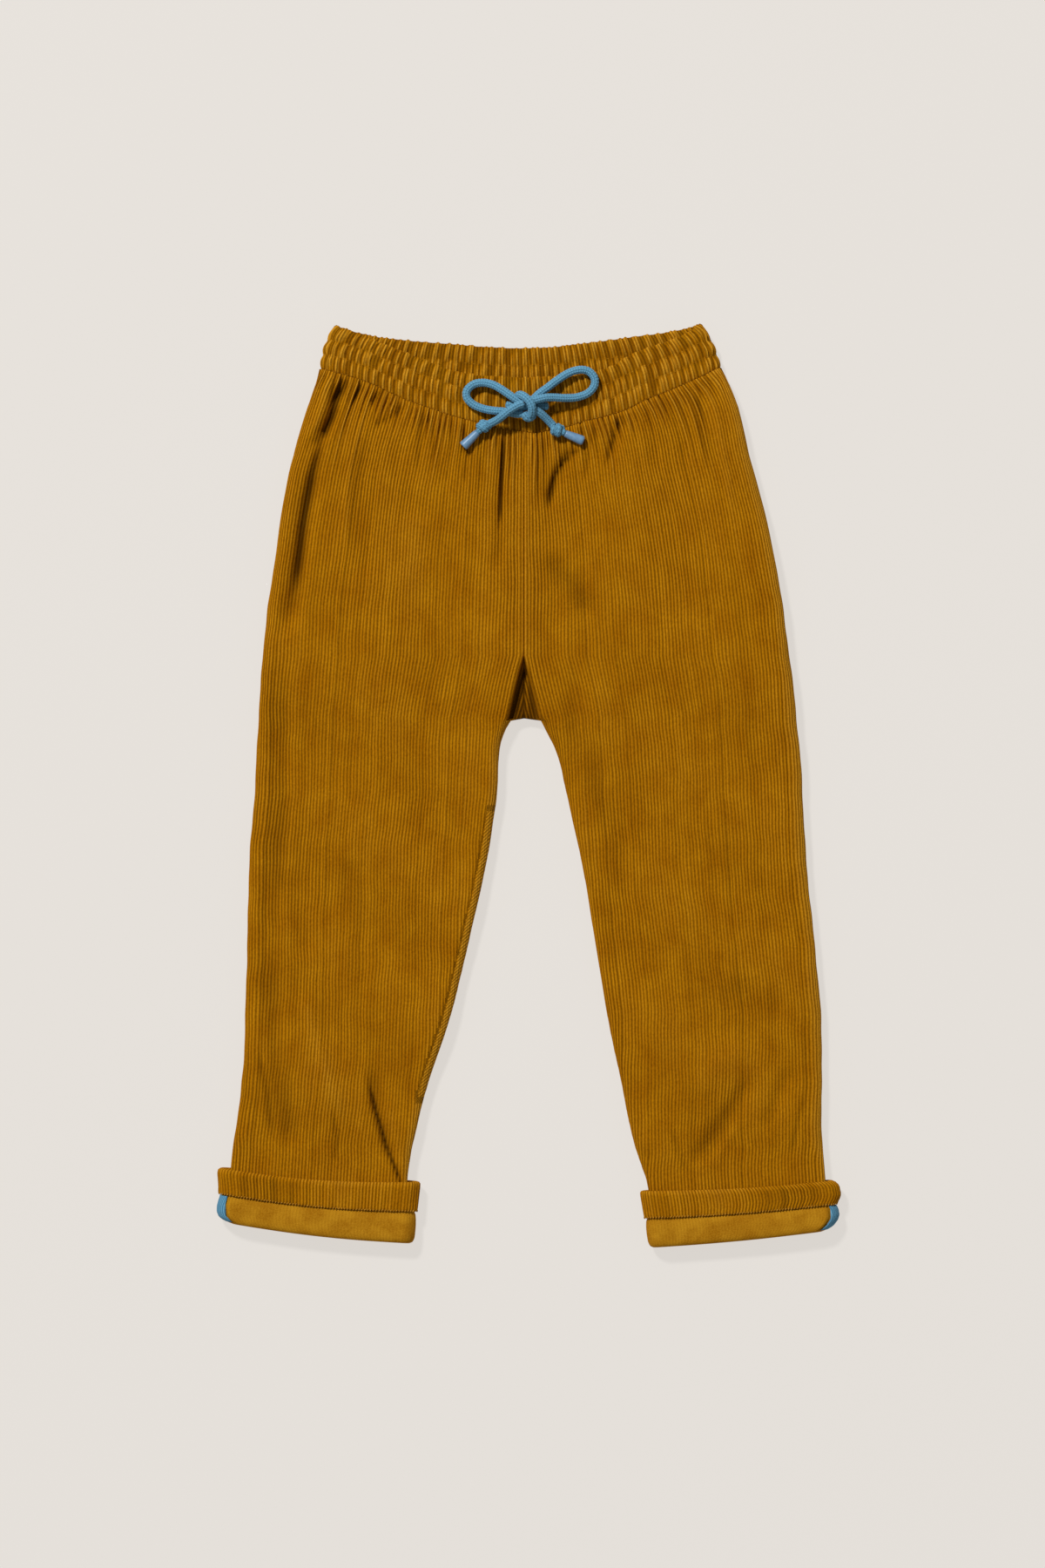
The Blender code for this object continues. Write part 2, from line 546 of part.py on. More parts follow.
def band_grids(top, bottom, high, turned):
    """Outer and inner points of half the waistband; turned puts the gathers on its upper face."""
    top = [tuple(edge) for edge in top]
    bottom = [tuple(edge) for edge in bottom]
    low = SIDE_Z + (-SEAM_GAP / 2 if turned else SEAM_GAP / 2)
    count = GATHERS * COLUMNS_PER_GATHER
    gathered, plain = [], []
    for row in range(BAND_ROWS):
        down = row / (BAND_ROWS - 1)
        left = smooth([(step.down, step.left) for step in BAND_ENDS], down)
        right = smooth([(step.down, step.right) for step in BAND_ENDS], down)
        swell = PUFF if row % 2 else SEWN_SWELL
        swell = -PUFF if row == 0 else swell  # the top fold is drawn in by the elastic
        raised, flat = [], []
        for column in range(count + 1):
            share = column / count
            x, z, normal = band_section(left, right, low, high, share)
            if turned:
                normal = Vector((normal.x, -normal.y))
            y = between(smooth(top, x), smooth(bottom, x), down)
            ends = ramp(share, 0, END_FADE) * ramp(share, 1, 1 - END_FADE)
            lift = swell + gather(column, row) * ends
            if turned:
                inside = CASING + lift
                raised.append((x - normal.x * inside, y, z - normal.y * inside))
                flat.append((x, y, z))
            else:
                raised.append((x + normal.x * lift, y, z + normal.y * lift))
                flat.append((x - normal.x * CASING, y, z - normal.y * CASING))
        gathered.append(raised)
        plain.append(flat[::COLUMNS_PER_GATHER])
    return gathered, plain[::PLAIN_STEP]


def make_waistband():
    front = band_grids(FRONT_TOP, FRONT_BOTTOM, BAND_Z, False)
    back = band_grids(BACK_TOP, BACK_BOTTOM, 0, True)
    add_wall("waistband_front", *front, "corduroy")
    add_wall("waistband_back", *back, "corduroy")


# ---------------------------------------------------------------- rolled cuffs
END_STEPS = 6            # steps round each end of a cuff
FLAT_STEPS = 10          # steps across its front and across its back
TURNUP_FACE = range(2, 6)  # the points of the turn-up's section that make its free face


def cuff_stations():
    """Stations round a cuff: an end with the angle of its turn, or the top or bottom with the
    share of the way from the outer to the inner side."""
    stations = []
    for step in range(END_STEPS + 1):
        stations.append(("outer", math.pi * (step / END_STEPS - 0.5)))
    for step in range(1, FLAT_STEPS):
        stations.append(("top", step / FLAT_STEPS))
    for step in range(END_STEPS + 1):
        stations.append(("inner", math.pi * (0.5 - step / END_STEPS)))
    for step in range(1, FLAT_STEPS):
        stations.append(("bottom", 1 - step / FLAT_STEPS))
    return stations


def cuff_point(cuff, station, down, depth):
    """A point of a cuff: down from rim (0) to bottom fold (1), and depth in from its face."""
    where, amount = station
    sign = -1 if cuff.side == "left" else 1
    outer_x = between(cuff.outer_rim[0], cuff.outer_fold[0], down)
    inner_x = between(cuff.inner_rim[0], cuff.inner_fold[0], down)
    radius = CUFF_THICK / 2
    outer_mid, inner_mid = outer_x - sign * radius, inner_x + sign * radius
    if where == "outer":
        x = outer_mid + sign * (radius - depth) * math.cos(amount)
        z = radius + (radius - depth) * math.sin(amount)
    elif where == "inner":
        x = inner_mid - sign * (radius - depth) * math.cos(amount)
        z = radius + (radius - depth) * math.sin(amount)
    else:
        x = between(outer_mid, inner_mid, amount)
        z = CUFF_THICK - depth if where == "top" else depth
    return x, cuff_y(cuff, x, z, down), z


def hem_section(length):
    """The hem allowance: (down, depth) round its section, with a lip over the cloth's edge."""
    lip = LIP / length
    inside = CUFF_LAYER + CLOTH
    face = [(HEM_DOWN, 0.3), (HEM_DOWN * 0.9, 0), (HEM_DOWN * 0.4, 0), (0.045, 0)]
    rim = [(0.008, 0.7), (0, inside / 2), (0.02, inside - 0.3)]
    back = [(lip, inside), (lip, CLOTH), (HEM_DOWN, CLOTH)]
    return face + rim + back


def turnup_section(length):
    """The rolled leg, reverse side out: down the face, round the bottom fold and back inside."""
    def up(distance):
        return 1 - distance / length
    start = (LIP + SEAM_GAP) / length
    below_hem = HEM_DOWN + 0.13
    under = CUFF_LAYER          # under the hem allowance it lies one layer in
    inside = LEG_IN_CUFF_Z
    covered = [(start, under), (HEM_DOWN + 0.01, under)]
    face = [(below_hem, 0.9), (up(7), 0.3), (up(3.2), 0.3), (up(0.8), 1.2)]
    fold = [(up(0), 2.9), (up(0.8), 4.5), (up(3.2), inside + CLOTH)]
    end = [(up(RETURN), inside + CLOTH), (up(RETURN), inside)]
    fold_inside = [(up(3.6), inside), (up(2.2), 2.9), (up(3.6), 2.0)]
    reverse = [(up(7), 2.0), (below_hem, 2.6), (HEM_DOWN, under + CLOTH), (start, under + CLOTH)]
    return covered + face + fold + end + fold_inside + reverse


TAPE_THICK = 0.6
TAPE_TURN = 0.56 * math.pi  # how far the tape reaches round the cuff's outer end
TAPE_COLUMNS = 4
# how far down the cuff, then how deep under its face, the tape's underside lies
TAPE_LINE = [(HEM_DOWN + 0.03, CUFF_LAYER - SEAM_GAP), (0.62, 1.3), (0.74, 1.0), (0.85, 1.0), (0.93, 1.0)]
TAPE_ROOM = 1.3
TAPE_ROOM_TURN = (1.5, 0.9)  # angles between which the cuff's face is drawn in to make that room


def tape_room(station):
    """How much the cuff's face is drawn in at its outer end, where the side seam's tape lies."""
    where, amount = station
    return TAPE_ROOM * ramp(abs(amount), *TAPE_ROOM_TURN) if where == "outer" else 0


def tape_grids(cuff):
    turns = [("outer", TAPE_TURN * (step / TAPE_COLUMNS - 0.5)) for step in range(TAPE_COLUMNS + 1)]
    face = [[cuff_point(cuff, at, down, depth - TAPE_THICK) for at in turns] for down, depth in TAPE_LINE]
    under = [[cuff_point(cuff, at, down, depth) for at in turns] for down, depth in TAPE_LINE]
    return face, under


def make_cuffs():
    stations = cuff_stations()
    for cuff in CUFFS:
        length = cuff_length(cuff)
        hem = [[cuff_point(cuff, at, *spot) for spot in hem_section(length)] for at in stations]
        add_ring("hem_" + cuff.side, hem, "corduroy")
        turnup = []
        for at in stations:
            section = []
            for index, (down, depth) in enumerate(turnup_section(length)):
                if index in TURNUP_FACE:
                    depth = min(depth + tape_room(at), CUFF_LAYER)
                section.append(cuff_point(cuff, at, down, depth))
            turnup.append(section)
        add_ring("turnup_" + cuff.side, turnup, "corduroy_reverse")
        add_wall("seam_tape_" + cuff.side, *tape_grids(cuff), "seam_tape")


# -------------------------------------------------------------------- the bow
CURVE_STEPS = 10         # steps between two points of a route
BALL_COLUMNS, BALL_ROWS = 10, 6
SPIN_STEPS = 10
MERGE = 0.01             # points closer than this become one


def curve_points(route, spacing):
    """Evenly spaced points on a smooth curve through a route's own points."""
    points = [Vector(point) for point in route]
    ends = [2 * points[0] - points[1]] + points + [2 * points[-1] - points[-2]]
    fine = [points[0]]
    for k in range(1, len(ends) - 2):
        for step in range(1, CURVE_STEPS + 1):
            t = step / CURVE_STEPS
            a, b, c, d = ends[k - 1], ends[k], ends[k + 1], ends[k + 2]
            bend = (2 * a - 5 * b + 4 * c - d) * t * t + (3 * b - a - 3 * c + d) * t ** 3
            fine.append(0.5 * (2 * b + (c - a) * t + bend))
    length = sum((b - a).length for a, b in zip(fine, fine[1:]))
    count = max(round(length / spacing), 2)
    picked, walked = [fine[0]], 0
    for a, b in zip(fine, fine[1:]):
        walked += (b - a).length
        if walked >= length * len(picked) / count and len(picked) < count:
            picked.append(b)
    return picked + [fine[-1]]


def make_cords():
    for name, route in ROUTES.items():
        curve = bpy.data.curves.new(name, "CURVE")
        curve.dimensions = "3D"
        curve.bevel_depth = CORD / 2 * MM
        curve.bevel_resolution = 2
        curve.use_fill_caps = True
        spline = curve.splines.new("POLY")
        points = curve_points(route, POINT_STEP)
        spline.points.add(len(points) - 1)
        for target, point in zip(spline.points, points):
            target.co = (*(point * MM), 1)
        curve.materials.append(finish("cord"))
        made = bpy.data.objects.new(name, curve)
        bpy.context.scene.collection.objects.link(made)


def make_ball(name, centre, size):
    mesh = bmesh.new()
    bmesh.ops.create_uvsphere(mesh, u_segments=BALL_COLUMNS, v_segments=BALL_ROWS, radius=1)
    bmesh.ops.scale(mesh, vec=Vector(size) * MM, verts=mesh.verts)
    bmesh.ops.translate(mesh, vec=Vector(centre) * MM, verts=mesh.verts)
    add_object(name, mesh, "cord")


def make_cord_end(name, start, finish_point):
    """A moulded end, flared away from the knot, with its hollow mouth at the far end."""
    start, finish_point = Vector(start), Vector(finish_point)
    axis = finish_point - start
    length = axis.length
    body = [(0, 0), (0, 2.0), (1.5, 2.15), (length - 2, 2.8), (length - 0.6, 2.9), (length, 2.5)]
    mouth = [(length, 1.7), (length - 2.5, 1.4), (length - 2.5, 0)]
    mesh = bmesh.new()
    ring = [mesh.verts.new((radius * MM, 0, along * MM)) for along, radius in body + mouth]
    edges = [mesh.edges.new(pair) for pair in zip(ring, ring[1:])]
    bmesh.ops.spin(mesh, geom=ring + edges, axis=(0, 0, 1), cent=(0, 0, 0), steps=SPIN_STEPS,
                   angle=2 * math.pi, use_merge=True)
    bmesh.ops.remove_doubles(mesh, verts=mesh.verts, dist=MERGE * MM)
    turn = Vector((0, 0, 1)).rotation_difference(axis).to_matrix()
    bmesh.ops.rotate(mesh, cent=(0, 0, 0), matrix=turn, verts=mesh.verts)
    bmesh.ops.translate(mesh, vec=start * MM, verts=mesh.verts)
    add_object(name, mesh, "cord_end")


def make_bow():
    make_cords()
    make_ball("drawcord_knot", KNOT_CENTRE, KNOT_SIZE)
    for end in ENDS:
        make_ball("drawcord_stopper_" + end.side, end.stopper, STOPPER_SIZE)
        make_cord_end("cord_end_" + end.side, end.start, end.finish)


def main():
    for old in list(bpy.data.objects):
        bpy.data.objects.remove(old)
    make_legs()
    make_waistband()
    make_cuffs()
    make_bow()


main()
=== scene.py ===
# %% [markdown]
# # A small child's corduroy trousers, laid flat
# The frame holds the plain solids of every sewn piece. This lesson dresses them: each solid gets a
# thin shell of cloth with its ribs, creases and stitches. Everything stays where the frame has it.

# %% Load the frame
import math
from collections import namedtuple

import bmesh
import bpy
import numpy as np
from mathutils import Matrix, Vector


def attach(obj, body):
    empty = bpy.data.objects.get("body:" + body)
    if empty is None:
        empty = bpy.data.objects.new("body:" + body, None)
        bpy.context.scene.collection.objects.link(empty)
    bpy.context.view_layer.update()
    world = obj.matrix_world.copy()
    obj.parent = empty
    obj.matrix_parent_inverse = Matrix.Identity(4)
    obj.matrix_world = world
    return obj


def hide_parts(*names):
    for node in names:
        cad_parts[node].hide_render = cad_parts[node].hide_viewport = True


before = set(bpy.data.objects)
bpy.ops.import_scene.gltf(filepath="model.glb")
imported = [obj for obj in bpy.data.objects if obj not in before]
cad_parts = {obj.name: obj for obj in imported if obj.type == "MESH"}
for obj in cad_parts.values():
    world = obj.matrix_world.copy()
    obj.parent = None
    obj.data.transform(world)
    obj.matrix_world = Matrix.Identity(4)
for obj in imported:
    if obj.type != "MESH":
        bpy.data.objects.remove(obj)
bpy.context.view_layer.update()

MM = 0.001

# %% [markdown]
# ## The camera
# The trousers were photographed from straight above, with next to no perspective. A camera far up
# with a narrow lens does the same. Its picture is 600 mm wide and 900 mm tall at the cloth.

# %% Camera
PICTURE_TALL = 900 * MM
LOOK_AT = Vector((-3.75, 0.75, 6.0)) * MM
CAMERA_UP = 6.0

camera = bpy.data.objects.new("camera", bpy.data.cameras.new("camera"))
camera.data.sensor_fit = "VERTICAL"
camera.data.angle = 2 * math.atan(PICTURE_TALL / 2 / CAMERA_UP)
camera.data.clip_end = 40
camera.location = LOOK_AT + Vector((0, 0, CAMERA_UP))
bpy.context.scene.collection.objects.link(camera)
bpy.context.scene.camera = camera
bpy.context.scene.view_settings.view_transform = "Standard"
print("camera", CAMERA_UP, "m up, field of view", round(math.degrees(camera.data.angle), 2), "degrees")

# %% [markdown]
# ## Finishes
# A material is a small network of nodes. One function adds a node with its settings and its links,
# and one turns the colour codes that people write, such as #945b06, into the linear light that
# the renderer adds up.

# %% Helpers for materials
def colour(code):
    """Linear light from an sRGB colour code."""
    parts = [int(code[k:k + 2], 16) / 255 for k in (1, 3, 5)]
    return (*(v / 12.92 if v < 0.04045 else ((v + 0.055) / 1.055) ** 2.4 for v in parts), 1)


def add_node(tree, kind, settings=(), links=(), **values):
    """Add a node. settings are its properties, values its sockets by name, links (from, its socket)."""
    node = tree.nodes.new(kind)
    for key, value in dict(settings).items():
        setattr(node, key, value)
    for key, value in values.items():
        node.inputs[key.replace("_", " ")].default_value = value
    for source, socket in links:
        tree.links.new(source, node.inputs[socket])
    return node


def math_node(tree, operation, first, second=0.0):
    """One sum on sockets or plain numbers."""
    node = add_node(tree, "ShaderNodeMath", {"operation": operation})
    for socket, value in zip(node.inputs, (first, second)):
        if isinstance(value, (int, float)):
            socket.default_value = value
        else:
            tree.links.new(value, socket)
    return node.outputs[0]


def times(tree, value, factor):
    return math_node(tree, "MULTIPLY", value, factor)


def mapped(tree, across, along, u_scale, v_scale):
    """The pattern's place with both its directions scaled."""
    links = [(times(tree, across, u_scale), "X"), (times(tree, along, v_scale), "Y")]
    return add_node(tree, "ShaderNodeCombineXYZ", links=links).outputs[0]


def mix_node(tree, share, first, second):
    """Mix two colours, which may be codes or sockets."""
    node = add_node(tree, "ShaderNodeMix", {"data_type": "RGBA"}, [(share, "Factor")])
    for index, value in ((6, first), (7, second)):
        if isinstance(value, str):
            node.inputs[index].default_value = colour(value)
        else:
            tree.links.new(value, node.inputs[index])
    return node.outputs[2]


def noise_node(tree, place, scale, detail=2.0):
    """Soft noise from 0 to 1."""
    return add_node(tree, "ShaderNodeTexNoise", links=[(place, "Vector")], Scale=scale,
                    Detail=detail).outputs["Fac"]


def spread(tree, value, low, high):
    """Stretch the part of a value between low and high to 0 to 1."""
    return add_node(tree, "ShaderNodeMapRange", links=[(value, "Value")], From_Min=low,
                    From_Max=high).outputs["Result"]


def start_material(name):
    """A new material's tree and its shader."""
    material = bpy.data.materials.new(name)
    material.use_nodes = True
    return material, material.node_tree, material.node_tree.nodes["Principled BSDF"]


CLOTH_SPECULAR = 0.03    # cloth has next to no mirror-like shine
SHEEN_SPREAD = 0.45


def finish_cloth(tree, shader, tint, height, relief, roughness, sheen, sheen_tint):
    """Join colour and bump to a cloth's shader, with its sheen set on the shader's own sockets."""
    bump = add_node(tree, "ShaderNodeBump", links=[(height, "Height")], Strength=1.0, Distance=relief)
    tree.links.new(tint, shader.inputs["Base Color"])
    tree.links.new(bump.outputs["Normal"], shader.inputs["Normal"])
    shader.inputs["Roughness"].default_value = roughness
    shader.inputs["Specular IOR Level"].default_value = CLOTH_SPECULAR
    shader.inputs["Sheen Weight"].default_value = sheen
    shader.inputs["Sheen Roughness"].default_value = SHEEN_SPREAD
    shader.inputs["Sheen Tint"].default_value = colour(sheen_tint)


print("helpers ready, ochre is", [round(v, 3) for v in colour("#945b06")[:3]])

# %% [markdown]
# Corduroy is a cotton weave with rows of cut pile, the wales. Light sinks between the rows and glints
# off their brushed tops, so the face is two-toned at close range and its nap shows as soft patches.
# The face follows a map of its own: u counts the wales and v runs along them in millimetres.

# %% Corduroy, face and reverse
WALE_MM = 1.85           # one wale across, where the cloth lies unstretched
NAP_ACROSS, NAP_ALONG = 21, 27   # mm, the size of the soft patches that brushing leaves


def corduroy_face(name="cut_pile_corduroy"):
    """Brushed cotton pile in ochre: tufted tops over grooves in painted shade, patchy where the nap was
    stroked.
    """
    material, tree, shader = start_material(name)
    wales = add_node(tree, "ShaderNodeUVMap", {"uv_map": "wales"}).outputs["UV"]
    split = add_node(tree, "ShaderNodeSeparateXYZ", links=[(wales, "Vector")])
    across, along = split.outputs["X"], split.outputs["Y"]
    swing = math_node(tree, "SINE", times(tree, across, math.pi))
    crown = math_node(tree, "POWER", math_node(tree, "ABSOLUTE", swing), 1.3)
    tufts = spread(tree, noise_node(tree, mapped(tree, across, along, 2.6, 0.62), 1.0, 3.0), 0.3, 0.7)
    streaks = spread(tree, noise_node(tree, mapped(tree, across, along, 0.8, 0.03), 1.0), 0.3, 0.7)
    stroked = mapped(tree, across, along, WALE_MM / NAP_ACROSS, 1 / NAP_ALONG)
    nap = spread(tree, noise_node(tree, stroked, 1.6, 8.0), 0.28, 0.72)
    place = add_node(tree, "ShaderNodeTexCoord").outputs["Object"]
    grain = spread(tree, noise_node(tree, place, 950.0, 1.0), 0.3, 0.7)

    # the mesh gives each point its painted light: painted highlight above 0, on bends and ridges, and painted
    # shade below 0, in creases and hollows, with a little random tone
    opened = add_node(tree, "ShaderNodeAttribute", {"attribute_name": "opened"}).outputs["Fac"]
    painted_shade_and_tone = spread(tree, times(tree, opened, -1), 0, 1)
    top = mix_node(tree, nap, "#a26000", "#c2820a")
    top = mix_node(tree, times(tree, streaks, 0.14), top, "#8a5000")
    # painted highlight where the mesh marks it
    top = mix_node(tree, spread(tree, opened, 0, 1), top, "#cc9226")
    # painted shade in the grooves between the wales
    pile = mix_node(tree, math_node(tree, "ADD", times(tree, crown, 0.9), 0.1), "#583200", top)
    pile = mix_node(tree, times(tree, tufts, 0.27), pile, "#c4860c")
    pile = mix_node(tree, times(tree, grain, 0.3), pile, "#6f4200")
    # painted shade in creases, pleats and hollows
    pile = mix_node(tree, times(tree, painted_shade_and_tone, 0.85), pile, "#2c1600")
    height = math_node(tree, "ADD", crown, times(tree, tufts, 0.8))
    finish_cloth(tree, shader, pile, height, 0.14 * MM, 0.95, 0.3, "#c07800")
    return material


def corduroy_back(name="plain_woven_reverse"):
    """The flat cotton ground behind the pile, paler and finely woven; faint ribs show through."""
    material, tree, shader = start_material(name)
    wales = add_node(tree, "ShaderNodeUVMap", {"uv_map": "wales"}).outputs["UV"]
    split = add_node(tree, "ShaderNodeSeparateXYZ", links=[(wales, "Vector")])
    ribs = spread(tree, math_node(tree, "SINE", times(tree, split.outputs["X"], 2 * math.pi)), -1, 1)
    place = add_node(tree, "ShaderNodeTexCoord").outputs["Object"]
    yarn = spread(tree, noise_node(tree, place, 1400.0, 1.0), 0.3, 0.7)
    patches = spread(tree, noise_node(tree, place, 110.0, 5.0), 0.36, 0.64)
    tint = mix_node(tree, patches, "#945f08", "#ae7a16")
    tint = mix_node(tree, times(tree, ribs, 0.32), tint, "#7f5004")
    tint = mix_node(tree, times(tree, yarn, 0.4), tint, "#c08a20")
    height = math_node(tree, "ADD", yarn, times(tree, ribs, 0.5))
    finish_cloth(tree, shader, tint, height, 0.08 * MM, 0.9, 0.25, "#d09030")
    return material


FACE, REVERSE = corduroy_face(), corduroy_back()
print("cloth finishes:", FACE.name, REVERSE.name)

# %% [markdown]
# The drawcord is knitted cotton and the seam tape a narrow woven ribbon. The cord's ends are moulded
# plastic with a satin skin, and the sewing is polyester thread a shade lighter than the cloth.

# %% Cord, tape, plastic and thread
def knitted_cord(name="knitted_cotton_cord"):
    """Painted shade between the stitches, by how deep each point lies, and pale on them; the depth of each
    point is kept on the mesh.
    """
    material, tree, shader = start_material(name)
    raised = add_node(tree, "ShaderNodeAttribute", {"attribute_name": "raised"}).outputs["Fac"]
    place = add_node(tree, "ShaderNodeTexCoord").outputs["Object"]
    fibres = spread(tree, noise_node(tree, place, 1800.0), 0.3, 0.7)
    # painted shade: the deeper a point lies between the stitches, the darker
    tint = mix_node(tree, raised, "#0b2a3c", "#6ea6c4")
    tint = mix_node(tree, times(tree, fibres, 0.3), tint, "#3d728f")
    finish_cloth(tree, shader, tint, fibres, 0.12 * MM, 0.85, 0.2, "#a9d3ea")
    return material


def woven_tape(name="woven_cotton_tape"):
    """Blue cotton ribbon. Its ribs are 0.75 mm apart, coarser than real ones, so that the picture
    still shows them."""
    material, tree, shader = start_material(name)
    place = add_node(tree, "ShaderNodeTexCoord").outputs["Object"]
    rib = add_node(tree, "ShaderNodeTexWave", {"bands_direction": "Z"}, [(place, "Vector")],
                   Scale=420.0, Distortion=1.0, Detail=1.0, Detail_Scale=2.0).outputs["Fac"]
    tint = mix_node(tree, rib, "#3a6c88", "#6496b0")
    finish_cloth(tree, shader, tint, rib, 0.12 * MM, 0.8, 0.15, "#b5dcf0")
    return material


def moulded_plastic(name="moulded_satin_acetal"):
    """Satin acetal: smooth, a little cloudy, with a soft broad glint."""
    material, tree, shader = start_material(name)
    place = add_node(tree, "ShaderNodeTexCoord").outputs["Object"]
    cloud = noise_node(tree, place, 500.0)
    tint = mix_node(tree, spread(tree, cloud, 0.3, 0.7), "#5c80a0", "#6a90b0")
    tree.links.new(tint, shader.inputs["Base Color"])
    rough = add_node(tree, "ShaderNodeMapRange", links=[(cloud, "Value")], To_Min=0.32, To_Max=0.48)
    tree.links.new(rough.outputs["Result"], shader.inputs["Roughness"])
    shader.inputs["IOR"].default_value = 1.48
    return material


def sewing_thread(name="polyester_thread", pale="#a8741a", dark="#7c4c04"):
    """Twisted polyester thread, duller than the pile around it."""
    material, tree, shader = start_material(name)
    place = add_node(tree, "ShaderNodeTexCoord").outputs["Object"]
    twist = spread(tree, noise_node(tree, place, 900.0), 0.35, 0.65)
    tint = mix_node(tree, twist, dark, pale)
    finish_cloth(tree, shader, tint, twist, 0.05 * MM, 0.6, 0.1, "#e8bd6a")
    return material


CORD_FINISH, TAPE_FINISH = knitted_cord(), woven_tape()
PLASTIC, THREAD = moulded_plastic(), sewing_thread()
PALE_THREAD = sewing_thread("overlock_thread", "#c08c34", "#94641a")
print("trim finishes:", CORD_FINISH.name, TAPE_FINISH.name, PLASTIC.name, THREAD.name)

# %% [markdown]
# ## Making a mesh from rows of points
# Nearly every piece here is a grid of points bent into shape. These helpers join the rows of a
# grid by faces, write the pattern's map, and turn the faces outwards.

# %% Helpers for meshes
def join_rows(first, second):
    """Faces between two rows of vertex numbers that may hold different numbers of points."""
    faces, i, j = [], 0, 0
    while i < len(first) - 1 or j < len(second) - 1:
        next_i = (i + 1) / (len(first) - 1) if i < len(first) - 1 else 2
        next_j = (j + 1) / (len(second) - 1) if j < len(second) - 1 else 2
        if abs(next_i - next_j) < 1e-6:
            faces.append((first[i], first[i + 1], second[j + 1], second[j]))
            i, j = i + 1, j + 1
        elif next_i < next_j:
            faces.append((first[i], first[i + 1], second[j]))
            i += 1
        else:
            faces.append((first[i], second[j + 1], second[j]))
            j += 1
    return faces


def line_up(first, second):
    """Faces between rows whose points match by number up to the last one, which is the cut edge."""
    shared = min(len(first), len(second)) - 1
    faces = [(first[k], first[k + 1], second[k + 1], second[k]) for k in range(shared)]
    faces += [(first[k], first[k + 1], second[-1]) for k in range(shared, len(first) - 1)]
    faces += [(first[-1], second[k + 1], second[k]) for k in range(shared, len(second) - 1)]
    return faces


def number_rows(rows, start=0):
    """The vertex numbers of each row."""
    numbers = []
    for row in rows:
        numbers.append(list(range(start, start + len(row))))
        start += len(row)
    return numbers


def capped_tube(rings):
    """Faces along rings of vertex numbers, and one face over each end."""
    faces = []
    for first, second in zip(rings, rings[1:]):
        faces += join_rows(first + first[:1], second + second[:1])
    return faces + [tuple(rings[0]), tuple(reversed(rings[-1]))]


def closed_section(rows, join):
    """Faces of rows that run on round a section, back to the first, and one face over each end."""
    faces = []
    for first, second in zip(rows, rows[1:] + rows[:1]):
        faces += join(first, second)
    return faces + [tuple(row[0] for row in rows), tuple(row[-1] for row in reversed(rows))]


def make_piece(name, points, faces, finishes, which=None, maps=None, **marks):
    """A mesh object from points in mm. which is each face's finish, maps the pattern's (u, v) and
    marks are numbers kept at the points for a finish to read."""
    mesh = bpy.data.meshes.new(name)
    mesh.from_pydata((np.asarray(points) * MM).tolist(), [], faces)
    for finish in finishes:
        mesh.materials.append(finish)
    if which is not None:
        mesh.polygons.foreach_set("material_index", np.asarray(which, np.int32))
    if maps is not None:
        corners = np.empty(len(mesh.loops), np.int32)
        mesh.loops.foreach_get("vertex_index", corners)
        layer = mesh.uv_layers.new(name="wales")
        layer.data.foreach_set("uv", np.asarray(maps, np.float32)[corners].ravel())
    for label, values in marks.items():
        mesh.attributes.new(label, "FLOAT", "POINT").data.foreach_set("value", np.asarray(values, np.float32))
    work = bmesh.new()
    work.from_mesh(mesh)
    bmesh.ops.recalc_face_normals(work, faces=work.faces)
    work.to_mesh(mesh)
    work.free()
    mesh.shade_smooth()
    made = bpy.data.objects.new(name, mesh)
    bpy.context.scene.collection.objects.link(made)
    return made


def triangles(piece):
    return sum(len(face.vertices) - 2 for face in piece.data.polygons)


def stand_for(piece, node):
    """The piece rides on the trousers' one body and is shown in place of a node of the frame."""
    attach(piece, "root")
    if node:
        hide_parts(*([node] if isinstance(node, str) else node))
    print(f"{piece.name}: {triangles(piece)} triangles")
    return piece


# %% [markdown]
# ## The drawcord
# The cord is 4.8 mm thick, knitted, and soft. Its bow lies on the gathers, held up at the knot by
# the strands below it. Each stretch is a tube along a smooth curve through a few chosen points, with
# the columns of V-shaped stitches of the knitting raised on it.

